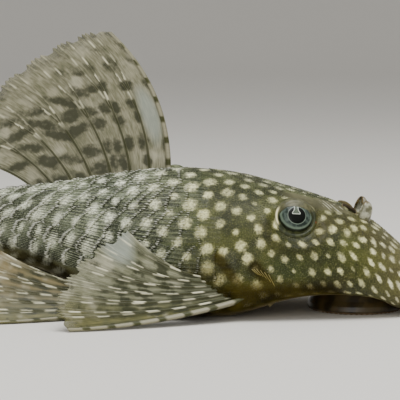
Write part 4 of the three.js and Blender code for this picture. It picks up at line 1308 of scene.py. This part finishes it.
bristles = {
    "seed": 4, "count": 17,
    "spread": 66,           # degrees to either side of straight ahead
    "length": 1.5, "radius": 0.3, "root": 0.6,      # root: how deep each starts in the snout
}
spinelet = {"s": 43.2, "halfLength": 1.15, "halfWidth": 0.72, "height": 0.55}
flapLook = shades({
    "flap": (96, 95, 72), "flapPale": (190, 189, 166), "margin": (96, 78, 36), "foot": (92, 88, 54),
    # the second wall colour is painted shade on the inside of each nostril's wall
    "wall": (98, 84, 42), "wallShade": (48, 33, 10),
    "spineRoot": (52, 46, 18), "spine": (136, 122, 62), "spineTip": (190, 176, 112),
})


# Grey skin for the flaps, brown where the attribute wall is 1 and darker towards 2, the darker part painted
# shade inside each nostril
def flapMaterial():
    material, tree, shader = newMaterial("flapFinish", Roughness=0.3)
    look = flapLook
    mottle = noise(tree, 900.0, 3.0)
    edge, wall = attribute(tree, "edge"), attribute(tree, "wall")
    colour = ramp(tree, mottle, 0.35, 0.65, look["flap"], look["flapPale"])
    colour = tint(tree, colour, look["margin"], steps(tree, edge, 0.8, 1.0))
    colour = tint(tree, colour, look["foot"], steps(tree, attribute(tree, "height"), 0.3, 0.0))
    brown = ramp(tree, wall, 1.0, 1.7, look["wall"], look["wallShade"])
    colour = tint(tree, colour, brown, sums(tree, "MINIMUM", wall, 0.92))
    alpha = addNode(tree, "ShaderNodeMapRange", at0=edge, at1=0.7, at2=1.0, at3=1.0, at4=0.8).outputs[0]
    feed(tree, shader, Base_Color=colour, Alpha=alpha, Roughness=scaled(tree, wall, 0.4, 0.3))
    bumped(tree, shader, mottle, 0.3, 0.06)
    return material


# A flap as a scroll of skin: u runs round it from one rear edge over the front to the other, v up. Its
# radius swells and then closes at the top, and the whole leans back, so that it is a hood that opens to the
# rear.
def makeFlap(side, name):
    v = np.linspace(0, 1, 34)[:, None]
    u = np.linspace(-1, 1, 61)[None, :]
    turn = np.radians(nostrilFlap["wrap"]) * u
    wide = (0.66 + 0.34 * np.sin(v * np.pi * 0.8)) * np.sqrt(1 - 0.9 * v**5)
    wide = wide * (1 + 0.06 * np.sin(5 * turn + 4 * v))
    outward = np.radians(nostrilFlap["turn"])
    ahead = nostrilFlap["halfLength"] * wide * np.cos(turn)
    across = nostrilFlap["halfWidth"] * wide * np.sin(turn)
    s = nostrilFlap["s"] + nostrilFlap["lean"] * v**2 - ahead * np.cos(outward) + across * np.sin(outward)
    y = side * (nostrilFlap["y"] + 0.1 * v + ahead * np.sin(outward) + across * np.cos(outward))
    z = backHeight(nostrilFlap["s"]) - 1.1 + nostrilFlap["height"] * v * (1 - 0.3 * u**4)
    sheet = place(vector(s, y, z))
    normal = crossed(np.gradient(sheet, axis=0), np.gradient(sheet, axis=1))
    edge = np.maximum(np.abs(u), v)
    half = nostrilFlap["thick"] * np.sqrt(np.clip(1 - 0.96 * edge**8, 0, 1)) + 0.02
    points, quads = closedSheet(sheet + normal * half[..., None], sheet - normal * half[..., None])
    height = np.broadcast_to(v, edge.shape)
    values = {"edge": np.tile(edge.ravel(), 2), "height": np.tile(height.ravel(), 2),
              "wall": np.zeros(2 * edge.size)}
    finishPiece(makePiece(name, points, quads, None, values), flapFinish, "skin")


# The low wall of brown skin round each nostril, a closed tube of skin that stands on the head's own
# surface: its middle line is an ellipse over turn, and section goes round the tube
def makeNostrilWall(side, name):
    turns, rings = 72, 20
    turn = (np.arange(turns) / turns * 2 * np.pi)[None, :]
    section = (np.arange(rings) / rings * 2 * np.pi)[:, None]
    out = nostrilWall["thick"] * np.cos(section)
    s = nostril["s"] + nostrilWall["behind"] + (nostrilWall["halfLength"] + out) * np.cos(turn)
    y = side * nostril["y"] + (nostrilWall["halfWidth"] + out) * np.sin(turn)
    at = np.arcsin(np.clip(np.abs(y) / halfWidth(s), 0, 1) ** (backFullness(s) / 2))
    ground = widestLevel(s) + (backHeight(s) - widestLevel(s)) * np.cos(at) ** (2 / backFullness(s))
    z = ground + 0.02 + nostrilWall["tall"] * np.sin(section)
    z = z - nostrilWall["lean"] * side * np.sin(turn) + nostrilWall["wave"] * np.sin(3 * turn)
    points = place(vector(s, y, z)).reshape(-1, 3)
    quads = gridQuads(rings, turns, closed=True, looped=True)
    quads = quads if signedVolume(points, quads) > 0 else quads[:, ::-1]
    # Towards the pit the wall's inner side takes painted shade
    inner = smooth(0.3 - np.cos(section) + 0 * turn).ravel()
    values = {"edge": np.full(len(points), 0.3), "height": np.full(len(points), 0.5), "wall": 0.9 + inner}
    finishPiece(makePiece(name, points, quads, None, values), flapFinish, "skin")


def spineMaterial():
    material, tree, shader = newMaterial("spineFinish", Roughness=0.25)
    tip = attribute(tree, "tip")
    colour = ramp(tree, tip, 0.0, 0.35, flapLook["spineRoot"], flapLook["spine"])
    feed(tree, shader, Base_Color=tint(tree, colour, flapLook["spineTip"], steps(tree, tip, 0.7, 1.0)))
    return material


# A fan of thin curved spikes, rooted in the fold behind the cheek
def makeCheekSpines(side, name):
    i = np.arange(cheekSpines["count"])
    angle = np.radians(cheekSpines["rise"] - cheekSpines["fan"] * i)
    size = cheekSpines["length"] * (1 - 0.05 * np.abs(i - 3))
    wide = halfWidth(cheekSpines["s"])
    rootS, rootZ = cheekSpines["s"] + cheekSpines["stepS"] * i, cheekSpines["z"] + cheekSpines["stepZ"] * i
    roots = place(vector(rootS, side * (wide - 0.45), rootZ))
    tips = place(vector(rootS + size * np.cos(angle), side * (wide + 0.35), rootZ + size * np.sin(angle)))
    bows = np.array([[0.0, side * 0.12, -0.1]])
    shape, quads, triangles, along = spikes(roots, tips, bows, cheekSpines["radius"], 0.2, 12, 8)
    finishPiece(makePiece(name, shape, quads, triangles, {"tip": along}), spineFinish, "skin")


# A row of short bristles along the snout's front edge, each pointing away from its middle
def makeBristles():
    chance = np.random.default_rng(bristles["seed"])
    turn = np.radians(np.linspace(-bristles["spread"], bristles["spread"], bristles["count"]))
    s = 4.6 * (1 - np.cos(turn)) ** 1.15
    out = halfWidth(s) * np.sign(turn)
    size = bristles["length"] * chance.uniform(0.7, 1.15, len(turn))
    level, root = widestLevel(s), bristles["root"]
    roots = place(vector(s + root * np.cos(turn), out - root * np.sin(turn), level))
    high = level + chance.uniform(-0.3, 0.35, len(s))
    tips = place(vector(s - size * np.cos(turn), out + size * np.sin(turn), high))
    bow = np.array([[0, 0, 0.07]])
    shape, quads, triangles, along = spikes(roots, tips, bow, bristles["radius"], 0.35, 10, 10)
    values = {"edge": along, "height": 0.35 + 0.3 * along, "wall": 0 * along}
    finishPiece(makePiece("bristles", shape, quads, triangles, values), flapFinish, "skin")


# The small locking spine before the dorsal fin: a low knob of bone, part of an egg laid on the back
def makeSpinelet():
    rings, turns = 24, 40
    rise = np.linspace(-0.35, 0.5, rings)[:, None] * np.pi
    turn = (np.arange(turns) / turns * 2 * np.pi)[None, :]
    s = spinelet["s"] + spinelet["halfLength"] * np.cos(rise) * np.cos(turn) + 0.3 * np.sin(rise)
    y = spinelet["halfWidth"] * np.cos(rise) * np.sin(turn)
    z = backHeight(spinelet["s"]) - 0.1 + spinelet["height"] * np.sin(rise)
    points = place(vector(s, y, z)).reshape(-1, 3)
    values = marks(np.full((rings, turns), spinelet["s"]), np.full((rings, turns), 2.0))
    quads = gridQuads(rings, turns, closed=True)
    quads = quads if signedVolume(points, quads) > 0 else quads[:, ::-1]
    finishPiece(makePiece("spinelet", points, quads, None, values), skinFinish, "skin")


flapFinish = flapMaterial()
spineFinish = spineMaterial()
for side, word in ((1, "Left"), (-1, "Right")):
    makeFlap(side, "nostrilFlap" + word)
    makeNostrilWall(side, "nostrilWall" + word)
    makeCheekSpines(side, "cheekSpines" + word)
makeBristles()
makeSpinelet()
print("flaps, spines and bristles made")


# A curve from a to c that bends towards b, as (1-t)^2 a + 2t(1-t) b + t^2 c
def bezier(a, b, c, t):
    a, b, c = (np.array(p, float) for p in (a, b, c))
    t = np.asarray(t, float)[..., None]
    return (1 - t) ** 2 * a + 2 * t * (1 - t) * b + t * t * c


def line(a, b, t):
    return mix(np.array(a, float), np.array(b, float), np.asarray(t, float)[..., None])


# Fins, each a sheet of rays: ray k runs from root(k) to tip(k) and bows by bow(k). This is what they share.
eachFin = {
    "fork": 0.36,                   # share of a ray's length at which it forks
    "columns": 34, "steps": 110,    # steps between two rays, and points along each
    "spine": 0.5, "ray": 0.25,      # half the width of the first ray, and of the others
    "rootThick": 0.35,              # how much thicker each half is at its root
    "notch": 0.012, "fringe": 0.025,    # how far the margin is cut back between rays and between forks
    "bandTall": 1.15, "band": 1.0,      # half a blotch's length, and how dark the blotches are
    "blotches": 1,                  # between every two rays
    "dashShift": 1.0,               # how far the dashes of neighbouring rays are out of step
    "green": [-2, -1],              # olive up to the first of these rays, and no more from the second
    "patch": [99, 1, 99, 1],        # a pale patch: its middle and half width in rays, and along them in mm
    "paired": 0, "warm": 0,         # 1 for the greyer web of paired fins, 1 for a brownish one
    "sunk": 0.8,                    # how deep its rays start below the skin
}


def dorsalRoot(k):
    s = dorsal["s"] + dorsal["pitch"] * k
    return vector(s, 0, backHeight(s) - dorsal["sunk"])


# Each ray leans further back than the one before it, and by more each time
def dorsalAngle(k):
    return np.radians(dorsal["rise"] - 0.6 * k - 0.9 * k * k)


def dorsalTip(k):
    size = dorsal["length"] - 0.2 * k - 0.19 * k * k
    angle = dorsalAngle(k)
    return dorsalRoot(k) + vector(size * np.cos(angle), 0, dorsal["sunk"] + size * np.sin(angle))


def dorsalBow(k):
    size = 3.0 - 0.22 * k
    return vector(-size * np.sin(dorsalAngle(k)), 0, size * np.cos(dorsalAngle(k)))


def analRoot(k):
    s = anal["s"] + anal["pitch"] * k
    return vector(s, 0, bellyHeight(s) + anal["sunk"])


# Each ray points down and back, and none comes lower than the fin's clearance
def analTip(k):
    angle, size = np.radians(anal["fall"] - 6 * k), anal["length"] - 0.55 * k
    tip = analRoot(k) + vector(size * np.cos(angle), 0, -anal["sunk"] - size * np.sin(angle))
    tip[..., 2] = np.maximum(anal["clearance"], tip[..., 2])
    return tip


def adiposeRoot(k):
    s = adipose["s"] + adipose["pitch"] * k
    return vector(s, 0, backHeight(s) - adipose["sunk"])


dorsal = {
    **eachFin, "rays": 8, "root": dorsalRoot, "tip": dorsalTip, "bow": dorsalBow,
    "s": 44.6, "pitch": 3.2,            # the root of its first ray, and from one to the next
    "rise": 65.5, "length": 25.7,       # degrees above level and length of the first ray
    "ray": 0.27, "fork": 0.34, "notch": 0.01,
    "bandStep": 3.5,                    # from one band of blotches or dashes to the next
    "dashFrom": 0.4,                    # share of a ray's length from which it has dashes
    "bandTall": 1.25, "dashShift": 0.4, "patch": [0.5, 0.34, 9.5, 4.2],
}
pectoral = {
    **eachFin, "rays": 7, "spine": 0.75, "ray": 0.3, "fringe": 0.03, "paired": 1,
    "bandStep": 4.3, "bandTall": 1.5, "band": 0.9, "blotches": 2, "dashFrom": 0.05, "green": [0.6, 3.2],
    "patch": [5.6, 0.7, 18.4, 2.6],
    "root": lambda k: line([31.3, 14.3, 3.7], [36.6, 13.5, 7.1], k / 6),
    "tip": lambda k: bezier([60.8, 25.5, 0.5], [64.8, 23, 8.4], [51.5, 16.4, 14.9], k / 6),
    "bow": lambda k: line([0.3, 1.0, -1.0], [-0.4, 1.2, -2.0], k / 6),
}
pelvic = {
    **eachFin, "rays": 6, "spine": 0.6, "steps": 90, "fringe": 0.03, "paired": 1, "warm": 1,
    "bandStep": 4.0, "bandTall": 1.4, "band": 0.85, "blotches": 2, "dashFrom": 0.1, "green": [-0.5, 4.5],
    "patch": [9, 1, 99, 1],
    "root": lambda k: line([49.3, 8.4, 1.6], [53.2, 6.7, 3.7], k / 5),
    "tip": lambda k: bezier([72.5, 18.5, 0.5], [79, 15, 4.8], [72.3, 10.5, 11.0], k / 5),
    "bow": lambda k: line([0.3, 0.9, -0.5], [0, 1.3, -0.9], k / 5),
}
caudal = {
    **eachFin, "rays": 16, "ray": 0.24, "fork": 0.3, "columns": 16, "notch": 0.015, "rootThick": 1.7,
    "bandStep": 3.6, "dashFrom": 0.3,
    "root": lambda k: line([100.3, 0, backHeight(100) - 0.5], [100.3, 0, bellyHeight(100) + 0.5], k / 15),
    "tip": lambda k: bezier([126, 0, 28], [115, 0, 13.6], [131, 0, 0.9], k / 15),
    "bow": lambda k: line([0, 0, 0.9], [0, 0, -0.6], k / 15),
}
anal = {
    **eachFin, "rays": 5, "root": analRoot, "tip": analTip, "bow": lambda k: vector(0 * k, 0, -0.3),
    "s": 66.2, "pitch": 1.15, "sunk": 0.9,
    "fall": 36, "length": 10.6,         # degrees below level and length of the first ray
    "clearance": 0.9,                   # the lowest that a ray's tip comes
    "spine": 0.3, "ray": 0.2, "fork": 0.4, "columns": 20, "steps": 50, "notch": 0.03, "fringe": 0.04,
    "bandStep": 3.2, "bandTall": 1.0, "band": 0.8, "dashFrom": 0.2,
}
adipose = {
    **eachFin, "rays": 3, "root": adiposeRoot, "s": 83.4, "pitch": 2.6,
    "tip": lambda k: bezier([90.6, 0, 23.4], [93.4, 0, 22], [93.4, 0, 19.8], k / 2),
    "bow": lambda k: vector(-0.35 + 0 * k, 0, 0.35),
    "spine": 0.45, "ray": 0.1, "fork": 0.9, "columns": 24, "steps": 50, "notch": 0.03, "fringe": 0.0,
    "bandStep": 3.0, "bandTall": 0.9, "band": 0.8, "dashFrom": 0.3,
}

# Blotches between two rays as middle and half width, in spaces between rays. Those behind the leading spine
# keep close to the rays.
single, double = [(0.5, 0.48)], [(0.27, 0.22), (0.73, 0.22)]
besideRays = [[(0.15, 0.13), (0.78, 0.22)], [(0.17, 0.2), (0.82, 0.22)], [(0.26, 0.27), (0.76, 0.27)]]
blotch = {
    "missing": 0.06,                    # share of them that is left out
    "rowDrift": 0.25, "drift": 0.35,    # spread of a whole row's place, and from one space to the next
    "shift": 0.25, "aside": 0.05,       # spread of each one's place along the rays and across them
    "lean": 1.2,                        # spread of how far each leans over, in mm a ray
    "halfDark": 0.45,                   # how dark they are at the margin
}
finLook = shades({
    "web": (106, 106, 80), "webPale": (160, 156, 130), "olive": (76, 76, 40), "olivePale": (116, 112, 68),
    "paired": (106, 107, 82), "pairedPale": (156, 156, 130), "warm": (128, 110, 66),
    "cloud": (186, 182, 158), "hollow": (88, 90, 62), "beside": (52, 56, 30), "patch": (158, 166, 156),
    "blotch": (40, 43, 18), "rayEdge": (168, 164, 140), "ray": (52, 54, 26),
    "spine": (150, 146, 122), "spineBar": (60, 62, 30), "dash": (226, 222, 190),
})


# Where the forks of ray i run, in ray numbers, at the share t of its length: two from the first fork on, and
# four past the second
def forks(fin, i, t):
    if i == 0:
        return [0 * t]
    first = 0.17 * smooth((t - fin["fork"]) / 0.5)
    second = 0.1 * smooth((t - fin["fork"] - 0.3) / 0.4)
    return [i + a * first + b * second for a in (-1, 1) for b in (-1, 1)]


# The middle sheet of a fin: the straight line of each ray plus four times its bow at half way. The margin
# is cut back between rays, and again between the ends of their forks, which stand out as a fringe.
def finSheet(fin, side, k, t):
    k, t = np.broadcast_arrays(np.asarray(k, float), np.asarray(t, float))
    ends = [np.atleast_1d(path) for i in range(fin["rays"]) for path in forks(fin, i, np.ones(1))]
    gap = np.abs(k[..., None] - np.concatenate(ends)).min(-1)
    betweenForks = smooth(gap / 0.13) * smooth((k - 0.2) / 0.5)
    cutBack = fin["notch"] * np.sin(np.pi * k) ** 2 + fin["fringe"] * betweenForks
    cutBack = cutBack + 0.03 * smooth((0.5 - k) / 0.5)
    reach = (t * (1 - cutBack))[..., None]
    root, tip, bow = fin["root"](k), fin["tip"](k), fin["bow"](k)
    points = mix(root, tip, reach) + 4 * bow * reach * (1 - reach)
    return place(points * np.array([1, side, 1]))


# How far each point lies from the nearest fork of a ray, in mm, and that fork's number, four to a ray
def nearestFork(fin, k, t, spacing):
    away = np.full(spacing.shape, 9.0)
    owner = np.zeros(spacing.shape)
    for i in range(fin["rays"]):
        for number, path in enumerate(forks(fin, i, t)):
            far = np.abs(k - path) * spacing
            closer = far < away
            away = np.where(closer, far, away)
            owner = np.where(closer, i * 4 + number, owner)
    return away, owner


# Fin surface: half as thick as the web plus, near a ray or fork, a round ridge that tapers to the tip. k
# goes a little past the first and last ray.
def makeFin(name, fin, side, node):
    rays = fin["rays"]
    inside = np.linspace(0, rays - 1, (rays - 1) * fin["columns"] + 1)
    k = np.concatenate([[-0.12, -0.06], inside, [rays - 0.9]])[:, None]
    t = np.linspace(0, 1, fin["steps"])[None, :]
    middle = finSheet(fin, side, k, t)
    along = finSheet(fin, side, k, t + 0.01) - finSheet(fin, side, k, t - 0.01)
    perRay = finSheet(fin, side, k + 0.3, t) - finSheet(fin, side, k - 0.3, t)
    normal = crossed(along, perRay)
    spacing = np.linalg.norm(perRay, axis=-1) / 0.6
    length = np.linalg.norm(finSheet(fin, side, k, 1.0) - finSheet(fin, side, k, 0.0), axis=-1) * t
    away, owner = nearestFork(fin, k, t, spacing)
    leading = owner < 0.5
    thick = np.where(leading, fin["spine"] * mix(1, 0.3, t), fin["ray"] * mix(1, 0.3, t**0.7))
    ridge = np.sqrt(np.clip(1 - (away / thick) ** 2, 0, 1))
    half = 0.06 + thick * ridge * 0.8 + fin["rootThick"] * np.clip(1 - t * 7, 0, 1) ** 1.5
    half = half * np.where(t > 0.999, 0.4, 1)
    both, quads = closedSheet(middle + normal * half[..., None], middle - normal * half[..., None])
    both[:, 2] = np.maximum(both[:, 2], 0.03)
    chance = np.random.default_rng(len(name) + rays)
    values = finPattern(fin, k, t, length, owner, away, chance)
    values.update(ray=ridge, reach=t, leading=leading * 1.0, along=length, across=k)
    values = {key: np.tile(np.broadcast_to(v, ridge.shape).ravel(), 2) for key, v in values.items()}
    finishPiece(makePiece(name, both, quads, None, values), finFinish, "fins", node)
    print(name + ":", len(quads), "faces")


# Dark blotches in bands across the web. Each one is as dark as 1.5 less the distance from its middle, in
# its own half widths and half lengths, and where they meet the darker one counts.
def finBlotches(fin, k, t, length, chance):
    dark = np.zeros(length.shape)
    step = fin["bandStep"]
    few = fin["blotches"] == 1
    between = (besideRays if few else besideRays[:1]) + [single if few else double] * fin["rays"]
    for j in range(int(length.max() / step) + 2):
        drift = chance.normal(0, blotch["rowDrift"])
        for i in range(fin["rays"] - 1):
            drift = 0.7 * drift + chance.normal(0, blotch["drift"])
            for middle, half in between[i]:
                if chance.random() < blotch["missing"]:
                    continue
                at = step * (j + 0.45) + drift + chance.normal(0, blotch["shift"])
                centre = i + middle + chance.normal(0, blotch["aside"])
                wide = half * chance.uniform(0.8, 1.15)
                tall = fin["bandTall"] * chance.uniform(0.7, 1.1)
                lean = (k - centre) * chance.normal(0, blotch["lean"])
                far = np.hypot((k - centre) / wide, (length - at + lean) / tall)
                dark = np.maximum(dark, np.clip(1.5 - far, 0, 1) * chance.uniform(0.65, 1))
    return dark * fin["band"] * mix(1.0, blotch["halfDark"], smooth((t - 0.62) / 0.25))


# Pale dashes along the rays between the bands, as a cosine of the length, each of its own strength. Every
# second ray is half a step on.
def finDashes(fin, t, length, owner, away, chance):
    count = fin["rays"] * 4 + 4
    fork = owner.astype(int)
    shift = chance.uniform(-0.16, 0.16, count) + 0.5 * (np.arange(count) // 4 % 2)
    phase = length / fin["bandStep"] + (shift * fin["dashShift"])[fork]
    strong = chance.uniform(0.25, 1.0, (count, 24))
    strong = strong[fork, np.clip(phase + 0.5, 0, 23).astype(int)]
    onFork = smooth((0.22 - away) / 0.13) * (owner % 2 < 0.5) * (owner > 0.5)
    ends = smooth((t - fin["dashFrom"]) / 0.15) * smooth((1.0 - t) / 0.08)
    return smooth((np.cos(phase * 2 * np.pi) + 0.1) / 0.5) * onFork * strong * ends


# What the fin's material reads: blotches and dashes, dark bars across the leading spine, the web's olive
# part near the leading edge, its pale patch without blotches, and the shade beside each ray
def finPattern(fin, k, t, length, owner, away, chance):
    dark = finBlotches(fin, k, t, length, chance)
    dash = finDashes(fin, t, length, owner, away, chance)
    bars = smooth((np.cos((length / fin["bandStep"] - 0.45) * 2 * np.pi) - 0.35) / 0.4) * (owner < 0.5)
    at, wide, high, tall = fin["patch"]
    far = np.hypot((k - at) / wide, (length - high) / tall)
    first, last = fin["green"]
    return {
        "dark": dark * (1 - smooth(2.2 - 1.2 * far)), "bars": bars, "dash": dash,
        "paired": float(fin["paired"]), "warm": float(fin["warm"]),
        "green": smooth((last - k) / (last - first)), "pale": smooth(1.6 - far),
        "beside": smooth((0.95 - away) / 0.7) * smooth((1.02 - t) / 0.4),
    }


# The web with its lines, clouds, patch and blotches, and over it the rays and their dashes. The lines are
# noise in ray numbers across and millimetres along, drawn out along the rays. Each ray's joints are fine
# steps in it.
def finMaterial():
    material, tree, shader = newMaterial("finFinish", Roughness=0.45, Specular_IOR_Level=0.25)
    look = finLook
    mottle, fine, broad = noise(tree, 420.0, 3.0), noise(tree, 1300.0, 3.0), noise(tree, 330.0)
    reach, ray, along, paired, pale, bands = (
        attribute(tree, name) for name in ("reach", "ray", "along", "paired", "pale", "dark"))
    drawn = addNode(tree, "ShaderNodeCombineXYZ", at0=times(tree, attribute(tree, "across"), 9.0),
                    at1=times(tree, along, 0.35)).outputs[0]
    lines = addNode(tree, "ShaderNodeTexNoise", at0=drawn, Scale=1.6, Detail=3.0).outputs["Fac"]
    names = ("web", "olive", "paired")
    web, olive, greyer = (ramp(tree, lines, 0.25, 0.75, look[name], look[name + "Pale"]) for name in names)
    web = tint(tree, web, greyer, paired)
    web = tint(tree, web, look["warm"], attribute(tree, "warm"), 0.75)
    web = tint(tree, web, olive, attribute(tree, "green"))
    web = tint(tree, web, look["cloud"], steps(tree, broad, 0.5, 0.72), 0.5)
    web = tint(tree, web, look["hollow"], steps(tree, broad, 0.5, 0.3), 0.45)
    web = tint(tree, web, look["beside"], attribute(tree, "beside"), scaled(tree, paired, 0.45, 0.3))
    web = tint(tree, web, look["patch"], pale, 0.7)
    ragged = plus(tree, less(tree, mottle, 0.5), bands)
    ragged = scaled(tree, less(tree, fine, 0.5), 1.2, ragged)
    dark = times(tree, steps(tree, ragged, 0.0, 0.85), steps(tree, bands, 0.0, 0.3))
    dark = times(tree, dark, scaled(tree, lines, 0.6, 0.7), clamp=True)
    dark = times(tree, dark, less(tree, 1.0, pale, clamp=True))
    web = tint(tree, web, look["blotch"], dark, 0.9)
    core = times(tree, steps(tree, ray, 0.15, 0.65), steps(tree, reach, 0.98, 0.5))
    edge = times(tree, steps(tree, ray, 0.0, 0.35), steps(tree, ray, 0.8, 0.5))
    rayed = tint(tree, tint(tree, web, look["rayEdge"], edge, 0.3), look["ray"], core, 0.85)
    spine = tint(tree, look["spine"], look["spineBar"], attribute(tree, "bars"))
    rayed = tint(tree, rayed, spine, attribute(tree, "leading"), ray)
    dashed = tint(tree, rayed, look["dash"], attribute(tree, "dash"), 0.9)
    solid = larger(tree, steps(tree, ray, 0.05, 0.5), times(tree, dark, 0.7))
    thin = ranged(tree, steps(tree, reach, 0.88, 1.0), 0.9, 0.6)
    feed(tree, shader, Base_Color=dashed, Alpha=larger(tree, solid, thin))
    joints = sums(tree, "SINE", times(tree, along, 2 * np.pi / 0.5))
    bumped(tree, shader, scaled(tree, times(tree, joints, ray), 0.25, lines), 0.4, 0.08)
    return material


finFinish = finMaterial()
for word, fin in (("dorsal", dorsal), ("tail", caudal), ("anal", anal), ("adipose", adipose)):
    makeFin(word + "Fin", fin, 1, word + "_fin")
for side, word in ((1, "left"), (-1, "right")):
    makeFin("pectoralFin" + word.title(), pectoral, side, "pectoral_fin_" + word)
    makeFin("pelvicFin" + word.title(), pelvic, side, "pelvic_fin_" + word)

# The plain pale floor, soft studio lights and the camera at the photograph's viewing angle, in metres
studio = {
    "floor": shade(226, 223, 216),
    "bowl": 1.6, "rim": 1.2, "wall": 1.5,       # where the floor turns up, over what width, and how high
    "world": 0.52,
    "key": 3.0, "keySize": 0.3, "keyAt": (0.08, -0.12, 0.5),
    "fill": 1.3, "fillSize": 0.5, "fillAt": (-0.1, -0.6, 0.25),
    "lit": (0, 0, 0.015),                       # what both lights point at
}
camera = {"target": (0.0253, 0, 0.0184), "distance": 0.300, "elevation": 5.5, "lens": 159.3}


# The floor is level round the fish and turns up far outside every view, so that no horizon shows: a ring of
# points at each radius, raised by the square of how far it lies beyond the bowl's edge
def makeFloor():
    turns = 96
    radius = np.concatenate([[0.05, 0.4, 0.9], studio["bowl"] + np.linspace(0, studio["rim"], 16)])
    rise = studio["wall"] * (np.maximum(0, radius - studio["bowl"]) / studio["rim"]) ** 2
    ring = np.arange(turns)
    turn = ring / turns * 2 * np.pi
    radius, rise = radius[:, None], rise[:, None]
    rings = vector(radius * np.cos(turn), radius * np.sin(turn), rise)
    middle = np.stack([np.zeros(turns, int), ring + 1, (ring + 1) % turns + 1], -1)
    points = np.concatenate([[[0, 0, 0]], rings.reshape(-1, 3)]) / mm
    floor = makePiece("floor", points, gridQuads(len(radius), turns, closed=True) + 1, middle)
    floor.data.materials.append(newMaterial("floorFinish", Base_Color=studio["floor"], Roughness=0.9)[0])


# Puts a light or a camera into the scene at a place and turns it to a point
def aim(name, data, at, target):
    holder = bpy.data.objects.new(name, data)
    holder.location = at
    holder.rotation_euler = (Vector(target) - Vector(at)).to_track_quat("-Z", "Y").to_euler()
    bpy.context.scene.collection.objects.link(holder)
    return holder


def makeLight(word):
    light = bpy.data.lights.new(word + "Light", "AREA")
    light.energy, light.size = studio[word], studio[word + "Size"]
    aim(word + "Light", light, studio[word + "At"], studio["lit"])


def makeCamera():
    data = bpy.data.cameras.new("camera")
    data.lens, data.sensor_width = camera["lens"], 36.0
    data.clip_start, data.clip_end = 0.01, 20
    rise = np.radians(camera["elevation"])
    at = Vector(camera["target"]) + Vector((0, -np.cos(rise), np.sin(rise))) * camera["distance"]
    bpy.context.scene.camera = aim("camera", data, at, camera["target"])


makeFloor()
makeLight("key")
makeLight("fill")
world = bpy.data.worlds.new("studioWorld")
world.use_nodes = True
world.node_tree.nodes["Background"].inputs[0].default_value = (1, 1, 1, 1)
world.node_tree.nodes["Background"].inputs[1].default_value = studio["world"]
bpy.context.scene.world = world
makeCamera()

print("scene built")
